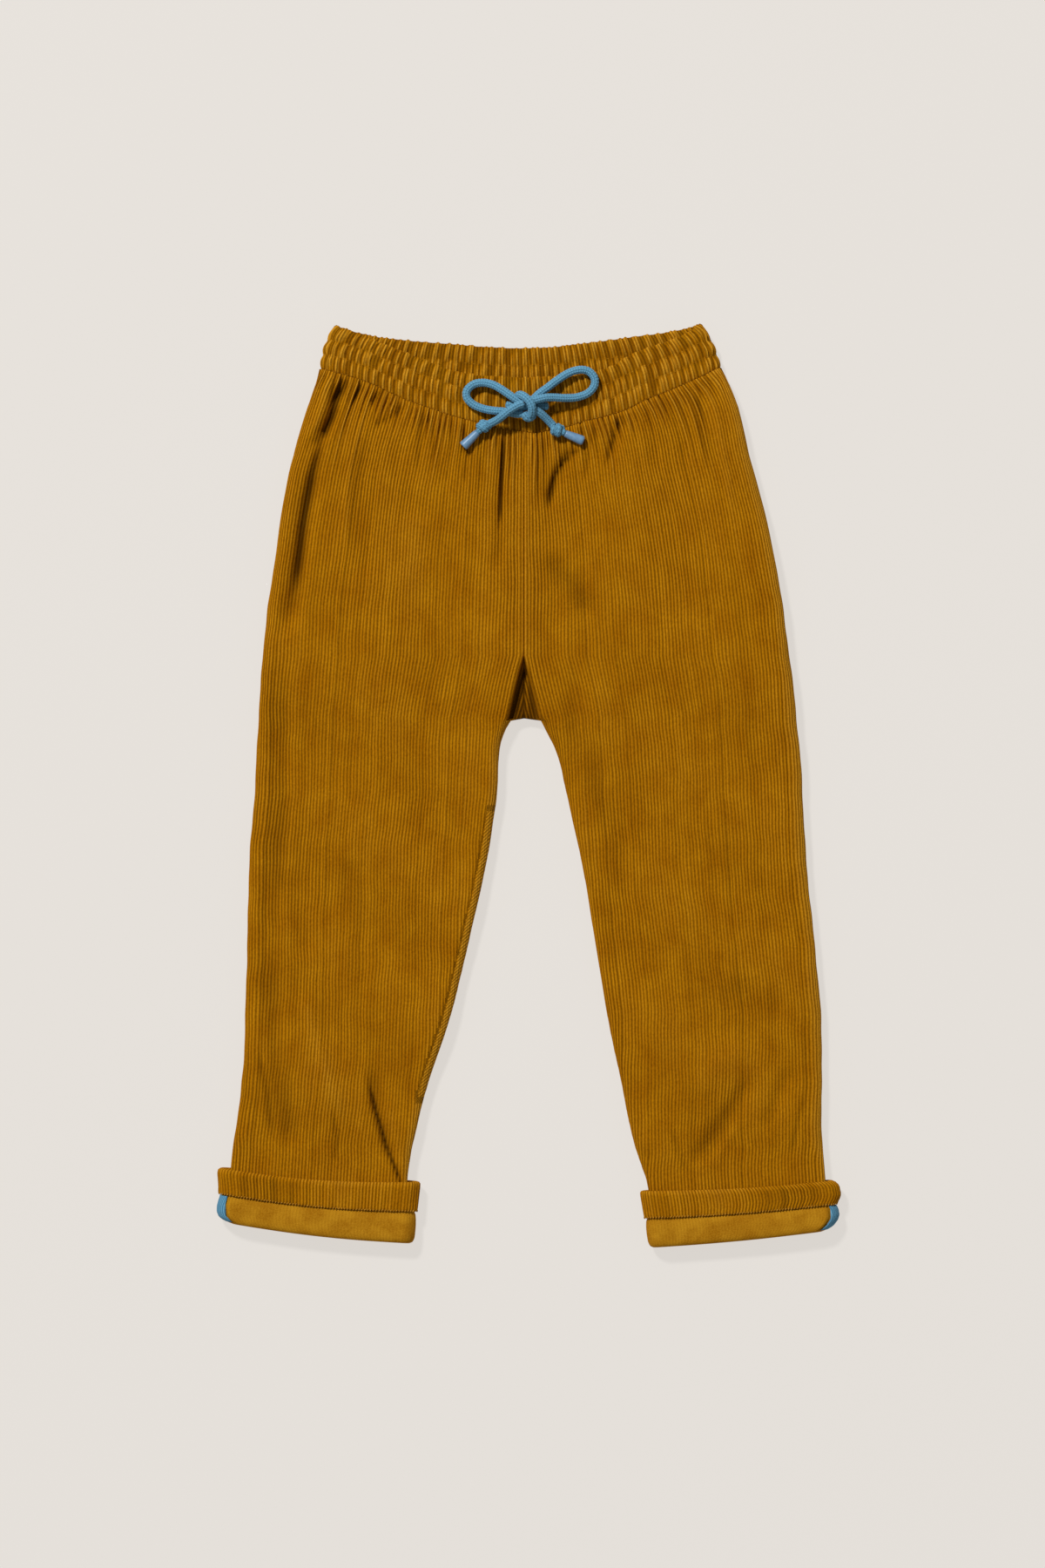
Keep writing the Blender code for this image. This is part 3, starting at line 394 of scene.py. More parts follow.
# %% Cord routes, in metres
CORD = 4.8 * MM
DECK = 15.2 * MM
LOW = DECK + 0.3 * MM + CORD / 2
LOWEST = LOW - 0.8 * MM
ROUTES = {
    "loop_left": [
        (-0.0040, 0.2192, 0.0232), (-0.0074, 0.2208, 0.0227), (-0.0116, 0.2238, 0.0217),
        (-0.0163, 0.2270, 0.0202), (-0.0210, 0.2295, 0.0190), (-0.0265, 0.2306, LOW),
        (-0.0318, 0.2296, LOW), (-0.0356, 0.2260, LOW), (-0.0354, 0.2216, LOW),
        (-0.0312, 0.2177, LOW), (-0.0250, 0.2154, 0.0188), (-0.0190, 0.2144, 0.0206),
        (-0.0140, 0.2140, 0.0216), (-0.0068, 0.2126, 0.0222), (-0.0030, 0.2130, 0.0226),
    ],
    "loop_right": [
        (-0.0005, 0.2190, 0.0250), (0.0032, 0.2203, 0.0248), (0.0090, 0.2218, 0.0240),
        (0.0140, 0.2220, 0.0220), (0.0200, 0.2218, 0.0200), (0.0270, 0.2222, LOW),
        (0.0334, 0.2245, LOWEST), (0.0372, 0.2286, LOWEST), (0.0374, 0.2334, LOWEST),
        (0.0340, 0.2372, LOWEST), (0.0286, 0.2380, LOW), (0.0224, 0.2360, 0.0184),
        (0.0158, 0.2318, 0.0190), (0.0104, 0.2276, 0.0196), (0.0060, 0.2244, 0.0202),
        (0.0030, 0.2215, 0.0208), (0.0005, 0.2195, 0.0213),
    ],
    "tail_left": [
        (-0.0028, 0.2184, 0.0270), (-0.0062, 0.2174, 0.0277), (-0.0110, 0.2146, 0.0275),
        (-0.0146, 0.2118, 0.0263), (-0.0178, 0.2094, 0.0234), (-0.0214, 0.2076, 0.0198),
        (-0.0240, 0.2065, 0.0190),
    ],
    "tail_right": [
        (0.0010, 0.2156, 0.0240), (0.0038, 0.2146, 0.0236), (0.0070, 0.2126, 0.0218),
        (0.0100, 0.2099, 0.0194), (0.0127, 0.2072, LOW), (0.0145, 0.2052, 0.0185),
    ],
    "stub_left": [(-0.0062, 0.2172, 0.0184), (-0.0100, 0.2176, LOW), (-0.0136, 0.2176, LOW)],
    "stub_right": [(0.0033, 0.2172, 0.0184), (0.0076, 0.2172, LOW), (0.0114, 0.2172, LOW)],
}
print("cord stretches:", ", ".join(ROUTES))


# %% A knitted tube along a route
RING_STEP = 0.3          # mm between rings of the tube
RING_POINTS = 36
STITCH_COLUMNS = 8       # columns of knitting round the cord
STITCH_PITCH = 1.45      # mm from one stitch to the next along it
COLUMN_GROOVE = 0.34
STITCH_GROOVE = 0.38


def smooth_path(route, step):
    """Evenly spaced points on a smooth curve through a route's own points."""
    points = np.array(route, float)
    ends = np.vstack((2 * points[0] - points[1], points, 2 * points[-1] - points[-2]))
    t = np.linspace(0, 1, 12, endpoint=False)[:, None]
    fine = []
    for a, b, c, d in zip(ends, ends[1:], ends[2:], ends[3:]):
        bend = (2 * a - 5 * b + 4 * c - d) * t ** 2 + (3 * b - a - 3 * c + d) * t ** 3
        fine.append(0.5 * (2 * b + (c - a) * t + bend))
    fine = np.vstack(fine + [points[-1:]])
    walked = np.concatenate(([0], np.cumsum(np.linalg.norm(np.diff(fine, axis=0), axis=1))))
    at = np.linspace(0, walked[-1], max(round(walked[-1] / step), 2) + 1)
    return np.stack([np.interp(at, walked, fine[:, k]) for k in range(3)], axis=1)


def tube(path, radius, start=0, taper=0.0):
    """Points, faces and raised values of a knitted tube in mm; taper rounds its two ends."""
    rings, raised, side = [], [], None
    angles = np.arange(RING_POINTS) * 2 * math.pi / RING_POINTS
    column = (angles * STITCH_COLUMNS / (2 * math.pi)) % 1
    edge = np.abs(column - 0.5) * 2
    for k, centre in enumerate(path):
        ahead = path[min(k + 1, len(path) - 1)] - path[max(k - 1, 0)]
        ahead /= np.linalg.norm(ahead)
        side = np.array([0.0, 0.0, 1.0]) if side is None else side
        side = side - ahead * side.dot(ahead)
        if np.linalg.norm(side) < 1e-6:
            side = np.cross(ahead, [1.0, 0.0, 0.0])
        side /= np.linalg.norm(side)
        across = np.cross(ahead, side)
        stitch = np.abs(np.sin(math.pi * (k * RING_STEP / STITCH_PITCH + 0.5 * edge))) ** 0.6
        sunk = COLUMN_GROOVE * edge ** 3 + STITCH_GROOVE * (1 - stitch)
        near_end = min(k, len(path) - 1 - k) * RING_STEP
        closing = math.sqrt(max(1 - (1 - near_end / taper) ** 2, 0.02)) if near_end < taper else 1
        reach = (radius - sunk) * closing
        spokes = np.outer(np.cos(angles), side) + np.outer(np.sin(angles), across)
        rings.append(centre + reach[:, None] * spokes)
        raised.append(1 - sunk / (COLUMN_GROOVE + STITCH_GROOVE))
    return np.vstack(rings), capped_tube(number_rows(rings, start)), np.concatenate(raised)


def cord_piece(name, route, radius=CORD / 2 / MM, taper=0.0):
    path = smooth_path(np.array(route) / MM, RING_STEP)
    points, faces, raised = tube(path, radius, taper=taper)
    return make_piece(name, points, faces, [CORD_FINISH], raised=raised), path * MM


stretches = {}
for label, route in ROUTES.items():
    piece, path = cord_piece("bow_" + label, route, taper=1.2)
    stretches[label] = (stand_for(piece, "drawcord_" + label), path)

# %% [markdown]
# The knot is a core with one strand wrapped over its front. The knots that stop the two ends are a
# strand wound about the cord. Past them sit the moulded ends, which are turned shapes: a profile
# spun about the cord's line. The left one shows its hollow mouth and the right one is rounded.

# %% Knots
KNOT_CORE = ((-1.7, 216.9, 21.6), (4.6, 5.0, 5.0))
WRAP = [(-6.6, 221.6, 18.6), (-5.6, 223.4, 22.6), (-2.8, 222.4, 26.4), (0.2, 219.6, 27.7),
        (1.7, 216.2, 27.2), (1.3, 212.6, 24.6), (-0.6, 210.8, 21.4), (-3.0, 211.8, 18.8)]
BULB = [(-3.4, 213.4, 24.0), (-0.9, 210.4, 23.2), (1.7, 211.4, 21.4), (1.6, 214.0, 19.6)]


def joined_tubes(name, paths, radius, taper):
    """Several tubes as one piece."""
    points, faces, raised, start = [], [], [], 0
    for path in paths:
        more, their_faces, their_raised = tube(smooth_path(path, RING_STEP), radius, start, taper)
        points.append(more)
        faces += their_faces
        raised.append(their_raised)
        start += len(more)
    return make_piece(name, np.vstack(points), faces, [CORD_FINISH], raised=np.concatenate(raised))


def core_path(centre, size):
    """A short fat strand through the middle of the knot, which fills it."""
    x, y, z = centre
    return [(x - size[0], y - 1, z), centre, (x + size[0], y + 1, z)]


knot = joined_tubes("bow_knot", [WRAP, BULB, core_path(*KNOT_CORE)], 2.5, 1.6)
stand_for(knot, "drawcord_knot")

End = namedtuple("End", "side stopper start finish")
ENDS = [
    End("left", (-26.0, 205.6, 18.8), (-29.4, 202.4, 17.8), (-37.8, 194.2, 17.8)),
    End("right", (16.2, 203.6, 18.8), (20.6, 201.6, 17.8), (31.3, 197.2, 17.2)),
]
WIND_TURNS = 1.9
WIND_RADIUS = 2.0
WIND_STRAND = 2.05
WIND_LONG = 4.6


def wound_path(centre, along):
    """A strand wound about the cord's line to make a stopper knot."""
    along = Vector(along).normalized()
    side = along.orthogonal().normalized()
    across = along.cross(side)
    path = []
    for step in range(25):
        share = step / 24
        angle = share * WIND_TURNS * 2 * math.pi
        place = Vector(centre) + along * WIND_LONG * (share - 0.5)
        path.append(tuple(place + WIND_RADIUS * (side * math.cos(angle) + across * math.sin(angle))))
    return path


stoppers = {}
for end in ENDS:
    along = Vector(end.finish) - Vector(end.start)
    through = [tuple(Vector(end.stopper) + along.normalized() * step) for step in (-4, 0, 5.2)]
    strands = [wound_path(end.stopper, along), through]
    stopper = joined_tubes("bow_stopper_" + end.side, strands, WIND_STRAND, 1.2)
    stoppers[end.side] = stand_for(stopper, "drawcord_stopper_" + end.side)

# %% Moulded ends
PROFILE_STEPS = 48


def moulded_end(end):
    """(along, radius) profiles in mm, spun about the line from start to finish."""
    start, finish = Vector(end.start), Vector(end.finish)
    length = (finish - start).length
    body = [(0, 0.3), (0, 1.7), (0.25, 2.05), (1.5, 2.2), (length * 0.55, 2.55), (length - 1.6, 2.85)]
    if end.side == "left":
        mouth = [(length - 0.5, 2.9), (length, 2.6), (length + 0.1, 2.2), (length - 0.2, 1.75),
                 (length - 1.2, 1.5), (length - 3.0, 1.35), (length - 3.0, 0.3)]
    else:
        mouth = [(length - 0.7, 2.75), (length - 0.15, 2.3), (length + 0.1, 1.6), (length + 0.15, 0.3)]
    profile = body + mouth
    along = (finish - start).normalized()
    side = along.orthogonal().normalized()
    across = along.cross(side)
    angles = [2 * math.pi * step / PROFILE_STEPS for step in range(PROFILE_STEPS)]
    spokes = [side * math.cos(a) + across * math.sin(a) for a in angles]
    rings = [[tuple(start + along * distance + radius * spoke) for spoke in spokes]
             for distance, radius in profile]
    piece = make_piece("bow_end_" + end.side, np.vstack(rings), capped_tube(number_rows(rings)), [PLASTIC])
    smooth = piece.modifiers.new("Subdivision", "SUBSURF")
    smooth.levels = smooth.render_levels = 1
    return piece


for end in ENDS:
    stoppers[end.side + "_end"] = stand_for(moulded_end(end), "cord_end_" + end.side)

for side in ("left", "right"):
    loop, path = stretches["loop_" + side]
    others = [stretches[part + side][0] for part in ("tail_", "stub_")]
    others += [stoppers[side], stoppers[side + "_end"]] + ([knot] if side == "left" else [])

# %% [markdown]
# ## The shape of the trousers
# The outline comes from a few tables with one row for each height up the trousers, in
# millimetres, and a smooth curve through them. The panels, the band and the cuffs all read the same
# tables, so that they meet at the seams.

# %% Sizes and tables
CLOTH = 1.6              # mm, the thickness of the corduroy
CASING = 2.6             # and of the waistband, with the elastic in it
SEAM_GAP = 0.3
LAP = 0.04               # the dressed pieces lap this much at their seams, so that no light shows through
RETURN = 6.0             # mm that the turn-up runs up again inside its fold
FOLD_GAP = 0.7           # from the leg's end to there
CENTRE_X = -2.9          # the rise seam
SIDE_Z = 5.5             # height of the side seams
CROTCH_Z = 1.75          # height of the seam at the crotch
CUFF_THICK = 15.8
CUFF_LAYER = CLOTH + SEAM_GAP
LEG_IN_CUFF_Z = 2 * CUFF_LAYER
SIDE_ROUND, INSEAM_ROUND, CASING_ROUND = 8.0, 6.0, 9.0
WAIST_ROW, BACK_WAIST_ROW = 202.6, 220.3
WAIST_FADE = 118         # rows above this one bend towards the waistband's lower edge
CUFF_FADE = (-150, -225)     # rows between these two turn to the cuffs' slant
LAST_ROWS = (-222, -245)
VALLEY_TOP, VALLEY_LONG, VALLEY_HALF = 74, 36, 8.6   # the hollow between the legs, above the crotch
SPLIT_ROW, LEG_TOP = 38.4, 37.0

Row = namedtuple("Row", "y left_outer left_inner right_inner right_outer")
OUTLINE = [
    Row(240, -119.7, None, None, 110.3), Row(228, -122.8, None, None, 115.9),
    Row(210, -128.8, None, None, 121.9), Row(190, -134.8, None, None, 126.4),
    Row(170, -139.3, None, None, 131.8), Row(150, -142.8, None, None, 136.8),
    Row(120, -147.3, None, None, 142.8), Row(90, -151.3, None, None, 147.3),
    Row(60, -153.8, None, None, 151.3), Row(37, -155.4, -10.4, 6.9, 153.7),
    Row(30, -155.8, -14.2, 10.4, 154.4), Row(17, -156.5, -17.2, 16.3, 155.6),
    Row(0, -157.2, -18.0, 20.4, 156.8), Row(-20, -158.8, -20.4, 24.9, 157.8),
    Row(-50, -160.8, -25.6, 31.3, 159.8), Row(-80, -161.5, -32.4, 36.3, 162.8),
    Row(-110, -162.3, -39.3, 41.3, 165.8), Row(-140, -163.2, -47.4, 46.4, 167.9),
    Row(-170, -164.9, -57.5, 52.9, 168.0), Row(-200, -168.9, -65.2, 58.9, 168.2),
    Row(-217, -171.0, -68.6, 64.0, 169.4), Row(-232, -172.0, -69.8, 68.6, 170.6),
    Row(-262, -171.6, -69.4, 71.8, 170.4),
]
Rise = namedtuple("Rise", "y height")
FRONT_HEIGHT = [
    Rise(240, 13.2), Rise(203, 13.6), Rise(190, 14.6), Rise(150, 16.6), Rise(100, 17.2),
    Rise(60, 16.4), Rise(30, 14.6), Rise(-10, 13.8), Rise(-100, 13.2), Rise(-190, 13.0),
    Rise(-225, 12.0), Rise(-262, 12.0),
]
BAND_Z = FRONT_HEIGHT[1].height
Edge = namedtuple("Edge", "x y")
FRONT_TOP = [
    Edge(-111.8, 263.6), Edge(-94.8, 258.2), Edge(-85.8, 253.8), Edge(-74.8, 249.8),
    Edge(-54.3, 241.8), Edge(-37.8, 236.6), Edge(-13.8, 234.5), Edge(6.3, 234.3),
    Edge(39.8, 237.7), Edge(60.3, 247.8), Edge(78.8, 254.4), Edge(92.8, 260.6), Edge(99.3, 264.4),
]
FRONT_BOTTOM = [
    Edge(-119.5, 238.9), Edge(-92.3, 230.8), Edge(-78.3, 224.3), Edge(-61.8, 217.8),
    Edge(-30.0, 208.0), Edge(-3.8, 202.8), Edge(9.3, 202.8), Edge(32.3, 208.6),
    Edge(54.8, 214.8), Edge(65.8, 220.3), Edge(84.3, 227.8), Edge(110.0, 239.6),
]
BACK_TOP = [
    Edge(-111.8, 263.9), Edge(-94.8, 259.3), Edge(-76.3, 256.3), Edge(-41.3, 253.3),
    Edge(-22.8, 251.8), Edge(4.8, 251.4), Edge(25.3, 253.2), Edge(64.8, 258.3),
    Edge(83.3, 261.0), Edge(99.3, 264.8),
]
BACK_BOTTOM = [
    Edge(-119.5, 238.9), Edge(-80.0, 228.5), Edge(-40.0, 222.5), Edge(-3.0, 220.5),
    Edge(40.0, 223.5), Edge(80.0, 230.5), Edge(110.0, 239.6),
]
Step = namedtuple("Step", "down left right")
BAND_ENDS = [
    Step(0.0, -111.8, 99.3), Step(0.33, -115.9, 104.3), Step(0.67, -118.4, 107.6), Step(1.0, -119.5, 110.0),
]
# each cuff's four corners, and how far its edges sag between them
Cuff = namedtuple("Cuff", "side outer_rim inner_rim outer_fold inner_fold sag")
CUFFS = [
    Cuff("left", (-179.4, -219.0), (-62.2, -227.3), (-176.4, -250.6), (-65.6, -263.0), 3.0),
    Cuff("right", (179.8, -226.0), (63.5, -232.6), (174.6, -255.2), (68.4, -265.4), 1.6),
]
waist = FRONT_TOP[-1].x - FRONT_TOP[0].x
print("tables:", len(OUTLINE), "rows of outline, waist", round(waist, 1), "mm across")


# %% Curves through the tables
def between(a, b, share):
    return a + (b - a) * share


def ramp(value, start, end):
    """0 at start and 1 at end, easing in and out."""
    share = np.clip((value - start) / (end - start), 0, 1)
    return share * share * (3 - 2 * share)


def bell(distance, width):
    """1 in the middle, fading to both sides."""
    return np.exp(-(distance / width) ** 2)


def curve(rows, at):
    """The values at one or many places in a table of (place, value) rows."""
    places, values = np.array(sorted(tuple(row) for row in rows), float).T
    at = np.clip(at, places[0], places[-1])
    step = np.clip(np.searchsorted(places, at) - 1, 0, len(places) - 2)
    order = np.arange(len(places))
    low, high = np.maximum(order - 1, 0), np.minimum(order + 1, len(places) - 1)
    slope = (values[high] - values[low]) / (places[high] - places[low])
    width = places[step + 1] - places[step]
    t = (at - places[step]) / width
    start = values[step] + slope[step] * width * t
    end = values[step + 1] - slope[step + 1] * width * (1 - t)
    return between(start, end, t * t * (3 - 2 * t))


def outline(side, edge, y):
    """x of a leg's outer or inner edge."""
    column = side + "_" + edge
    rows = [(row.y, getattr(row, column)) for row in OUTLINE]
    return curve([row for row in rows if row[1] is not None], y)


def cuff_slant(cuff, share):
    """How far a cuff's middle line departs from level, share of the way from inner to outer side."""
    outer = (cuff.outer_rim[1] + cuff.outer_fold[1]) / 2
    inner = (cuff.inner_rim[1] + cuff.inner_fold[1]) / 2
    return (outer - inner) * (share - 0.5)


def cuff_y(cuff, x, z, down):
    """y on a cuff at a place across it, down from its rim (0) to its bottom fold (1)."""
    outer_x = between(cuff.outer_rim[0], cuff.outer_fold[0], down)
    inner_x = between(cuff.inner_rim[0], cuff.inner_fold[0], down)
    share = np.clip((x - outer_x) / (inner_x - outer_x), 0, 1)
    rim = between(cuff.outer_rim[1], cuff.inner_rim[1], share)
    fold = between(cuff.outer_fold[1], cuff.inner_fold[1], share)
    front = ramp(z, CUFF_THICK * 0.3, CUFF_THICK * 0.8)
    hang = between(0.4 * down, 1 - 0.35 * down, front)
    return between(rim, fold, down) - cuff.sag * np.sin(math.pi * share) * hang


def cuff_length(cuff):
    """Its length down the leg in the middle."""
    return ((cuff.outer_rim[1] - cuff.outer_fold[1]) + (cuff.inner_rim[1] - cuff.inner_fold[1])) / 2


def cuff_rim(cuff):
    """The row where its rim crosses the leg."""
    return (cuff.outer_rim[1] + cuff.inner_rim[1]) / 2


hem_wide = outline("left", "inner", -200) - outline("left", "outer", -200)
print("leg width at the hem:", round(float(hem_wide)), "mm")

# %% [markdown]
# ## Folds
# Cloth that lies still keeps the creases of its last move. Each is a soft trough or ridge along
# a short route, with its own width and depth, and it fades at both ends. The large ones are on
# the solids too. The fine ones lie mostly where the cloth is gathered or pushed together.

# %% Fold tables
Fold = namedtuple("Fold", "half_width depth route")
FRONT_FOLDS = [
    Fold(3.2, 3.6, [(-106, 232), (-111.5, 221), (-111.5, 213), (-118, 202), (-125, 197)]),
    Fold(5.0, 4.0, [(-119, 190), (-128, 160), (-131.5, 130), (-135.5, 104), (-143, 80)]),
    Fold(5.5, 2.4, [(-144, 84), (-144, 20), (-143, -20), (-150, -70), (-150, -110)]),
    Fold(5.5, 3.0, [(-150, -90), (-146, -139), (-139, -189), (-134, -214)]),
    Fold(7.0, -1.6, [(-133, -112), (-125, -142), (-116, -168), (-104, -198)]),
    Fold(5.0, 1.6, [(-143, -45), (-131, -79), (-124, -100)]),
    Fold(6.5, 1.6, [(-104, -38), (-96, -75), (-97, -140)]),
    Fold(4.0, 3.6, [(-91, -160), (-86, -186), (-80, -210), (-75, -222)]),
    Fold(6.0, 1.7, [(-94, 204), (-96, 170), (-95, 135), (-91, 114)]),
    Fold(5.0, 1.5, [(-80, 200), (-69, 165), (-55, 150)]),
    Fold(3.6, 1.6, [(-54, 208), (-51, 190), (-46, 170)]),
    Fold(3.4, 2.2, [(-15, 200), (-15.4, 171), (-16.2, 138), (-19, 118)]),
    Fold(3.4, 2.6, [(27, 195), (18.5, 182), (13.7, 170), (10.8, 158)]),
    Fold(3.4, 2.0, [(54, 213), (50, 201), (46.5, 186)]),
    Fold(4.0, 1.4, [(66, 216), (72, 196), (74, 178)]),
    Fold(4.0, 1.2, [(84, 222), (90, 200), (91, 182)]),
    Fold(6.0, 2.6, [(22, 76), (25.5, 54), (28.5, 28), (37, 9), (41, -6), (51, -30), (54, -62), (52, -84)]),
    Fold(9.0, 1.6, [(112, -112), (134, -128), (150, -126)]),
    Fold(8.0, -1.4, [(94, -178), (112, -158), (128, -150)]),
    Fold(5.0, 3.0, [(130, -163), (116, -188), (102, -208), (91, -222)]),
    Fold(4.5, 1.8, [(151, -160), (142, -182), (134, -200)]),
    Fold(4.0, 1.8, [(66, -208), (70, -219), (76, -228)]),
]
FINE_FOLDS = [
    Fold(2.2, -1.0, [(-95, 224), (-101.5, 191), (-104.5, 162), (-106, 130)]),
    Fold(1.9, 2.4, [(-104.5, 236), (-110.6, 222), (-113.4, 210.5), (-117.5, 202), (-128, 196.5)]),
    Fold(1.5, 1.6, [(-70, 219), (-77, 213), (-84, 209), (-91, 205)]),
    Fold(1.8, 2.2, [(-102, 240), (-107, 230), (-112, 219)]),
    Fold(1.5, 2.0, [(-94, 233), (-98, 226), (-102, 218)]),
    Fold(1.4, 1.8, [(-83, 229), (-87, 223.5), (-92, 217)]),
    Fold(2.3, 2.1, [(-116, 206), (-124, 180), (-129.5, 150), (-132, 128), (-136, 104)]),
    Fold(4.0, 0.5, [(-141, 88), (-141, 20), (-140, -20), (-146, -70), (-147, -112)]),
    Fold(1.0, 2.4, [(-15.1, 205), (-15.2, 192), (-15.6, 176), (-16.4, 158), (-17.5, 144)]),
    Fold(1.5, 2.6, [(32, 195), (20.6, 187.5), (14.4, 177), (12.3, 167), (10.6, 156)]),
    Fold(1.4, 1.8, [(53, 213), (49.5, 202), (46, 191), (43.5, 182)]),
    Fold(1.3, 1.6, [(-37, 198), (-35.8, 192.8), (-34, 187)]),
    Fold(1.1, 3.2, [(-92, -170), (-88.8, -184), (-82, -207), (-73, -229), (-71, -234)]),
    Fold(3.4, -1.0, [(-84, -180), (-77, -205), (-69, -226)]),
    Fold(3.0, -1.7, [(-112, 236), (-117, 222), (-121.5, 208), (-128, 199)]),
    Fold(1.6, 0.9, [(-60, 214), (-63, 196), (-64, 176)]),
    Fold(1.4, 0.8, [(-38, 207), (-36, 188), (-37, 170)]),
    Fold(1.4, 0.7, [(-27, 204), (-27, 184), (-29, 160)]),
    Fold(9.0, -0.8, [(-66, 160), (-66, 136), (-70, 104)]),
    Fold(1.5, 0.8, [(8, 199), (6.5, 180), (6, 160)]),
    Fold(1.6, 0.9, [(38, 207), (34, 190), (31, 172)]),
    Fold(1.8, 1.0, [(96, 228), (99, 205), (104, 182)]),
    Fold(2.2, -0.9, [(104, 232), (109, 206), (114, 180), (118, 150)]),
    Fold(7.0, 0.9, [(8, 134), (24, 116), (38, 96)]),
    Fold(3.0, -0.9, [(-131, -119), (-124, -138), (-115, -168), (-105, -193)]),
    Fold(1.8, 0.9, [(-156, -150), (-150, -178), (-147, -205)]),
    Fold(1.8, 1.0, [(-112, -186), (-110, -204), (-112, -219)]),
    Fold(1.6, -0.8, [(-98, -190), (-93, -206), (-90, -219)]),
    Fold(2.0, 0.8, [(82, -196), (86, -212), (92, -224)]),
    Fold(2.0, -0.8, [(122, -190), (112, -206), (104, -220)]),
    Fold(1.8, 0.8, [(158, -176), (154, -196), (150, -214)]),
]
# the panels underneath lie flat, with shallow creases that rise from the surface
BACK_FOLDS = [
    Fold(3.4, 1.2, [(-112, 214), (-104, 188), (-101, 160)]),
    Fold(3.0, 1.0, [(-70, 218), (-73, 190), (-68, 165)]),
    Fold(3.2, 1.1, [(-34, 214), (-30, 188), (-33, 166)]),
    Fold(5.0, 1.3, [(-20, 120), (-44, 98), (-72, 88)]),
    Fold(4.0, 1.1, [(-16, 92), (-38, 70), (-60, 62)]),
    Fold(5.5, 1.2, [(-146, 60), (-124, 22), (-96, 6)]),
    Fold(5.0, 1.3, [(-132, -66), (-110, -88), (-82, -92)]),
    Fold(3.6, 1.0, [(-128, -150), (-118, -178), (-116, -204)]),
    Fold(3.0, 1.0, [(26, 212), (30, 186), (26, 162)]),
    Fold(3.4, 1.1, [(64, 220), (62, 192), (68, 168)]),
    Fold(3.2, 1.2, [(98, 222), (96, 196), (102, 170)]),
    Fold(5.0, 1.3, [(14, 112), (40, 94), (66, 88)]),
    Fold(4.0, 1.1, [(18, 84), (42, 66), (66, 60)]),
    Fold(5.5, 1.2, [(142, 46), (122, 10), (92, -4)]),
    Fold(5.0, 1.3, [(136, -80), (112, -98), (84, -104)]),
    Fold(3.6, 1.0, [(124, -150), (132, -180), (130, -206)]),
]
print("folds:", len(FRONT_FOLDS), "large,", len(FINE_FOLDS), "fine,", len(BACK_FOLDS), "underneath")


# %% Fold depth at any place
def fold_depth(folds, x, y):
    """How far the folds take the cloth in at many places; ridges count below 0."""
    total = np.zeros_like(x)
    for fold in folds:
        best, along = np.full_like(x, 1e9), np.zeros_like(x)
        legs = list(zip(fold.route, fold.route[1:]))
        for k, ((ax, ay), (bx, by)) in enumerate(legs):
            run = (bx - ax, by - ay)
            share = ((x - ax) * run[0] + (y - ay) * run[1]) / (run[0] ** 2 + run[1] ** 2)
            share = np.clip(share, 0, 1)
            gap = np.hypot(x - ax - run[0] * share, y - ay - run[1] * share)
            along = np.where(gap < best, (k + share) / len(legs), along)
            best = np.minimum(gap, best)
        fade = ramp(along, 0, 0.2) * ramp(along, 1, 0.75)
        total += fold.depth * fade * bell(best, fold.half_width)
    return total


def billow(x, y):
    """Broad, shallow unevenness of cloth that has been worn and smoothed down by hand."""
    return 0.56 * np.sin(x / 13 + y / 31) * np.sin(y / 23 - x / 40) + 0.36 * np.sin(y / 12 + x / 19)


deepest = fold_depth(FRONT_FOLDS, np.array([-131.5]), np.array([130.0]))[0]
print("deepest fold:", round(float(deepest), 1), "mm")

# %% [markdown]
# ## Panels of corduroy
# A panel is cut with its wales running down the leg. So the grid of each panel follows
# the wales: four columns to a wale, with the first of them sunk as the groove. Above the crotch the
# wales close up towards the gathered waist. Below it the inseam cuts them off one by one.

# %% Wales on a panel
SEAT_WALES = 80          # wales from the side seam to the rise seam
PER_WALE = 4
GROOVE = 0.32            # mm from the top of the pile to the bottom of the groove
PROFILE = np.array([1.0, 0.28, 0.0, 0.28])   # share of it that each column of a wale is sunk
UNEVEN_WALES = 400
random = np.random.default_rng(14)
wale_depth = random.uniform(0.75, 1.2, UNEVEN_WALES)
wale_shift = random.normal(0, 0.05, UNEVEN_WALES)
wale_tint = random.normal(0, 0.05, UNEVEN_WALES)
PLEATS = 37              # small pleats across each front, below the waistband
pleat_place = (np.arange(PLEATS) + 0.5 + random.uniform(-0.25, 0.25, PLEATS)) * SEAT_WALES / PLEATS
pleat_depth = random.uniform(0.7, 1.9, PLEATS)
pleat_long = 8 + 42 * random.uniform(0, 1, PLEATS) ** 2.6
ridge_place = pleat_place + random.uniform(0.75, 1.3, PLEATS)
ridge_height = random.uniform(0.5, 1.35, PLEATS)
print("wales on a front:", SEAT_WALES, "above the crotch, about", round(104 / WALE_MM), "at the hem")


# %% Where a row lies
def in_cuff(cuff, row):
    """0 on the free leg and 1 where the leg runs inside its rolled cuff."""
    return ramp(row, cuff_rim(cuff) + 22, cuff_rim(cuff) + 7)


def row_y(cuff, row, x, share, front):
    """y on a row at x, share of the way from the rise seam or inseam (0) to the side seam (1)."""
    waist_row, bottom = (WAIST_ROW, FRONT_BOTTOM) if front else (BACK_WAIST_ROW, BACK_BOTTOM)
    follow = (curve(bottom, x) - waist_row + LAP) * ramp(row, WAIST_FADE, waist_row)
    free = row + follow + cuff_slant(cuff, share) * ramp(row, *CUFF_FADE)
    layer = CUFF_THICK - LEG_IN_CUFF_Z if front else LEG_IN_CUFF_Z
    stop = 1 - (RETURN + FOLD_GAP) / cuff_length(cuff)
    return between(free, cuff_y(cuff, x, layer, stop), ramp(row, *LAST_ROWS))


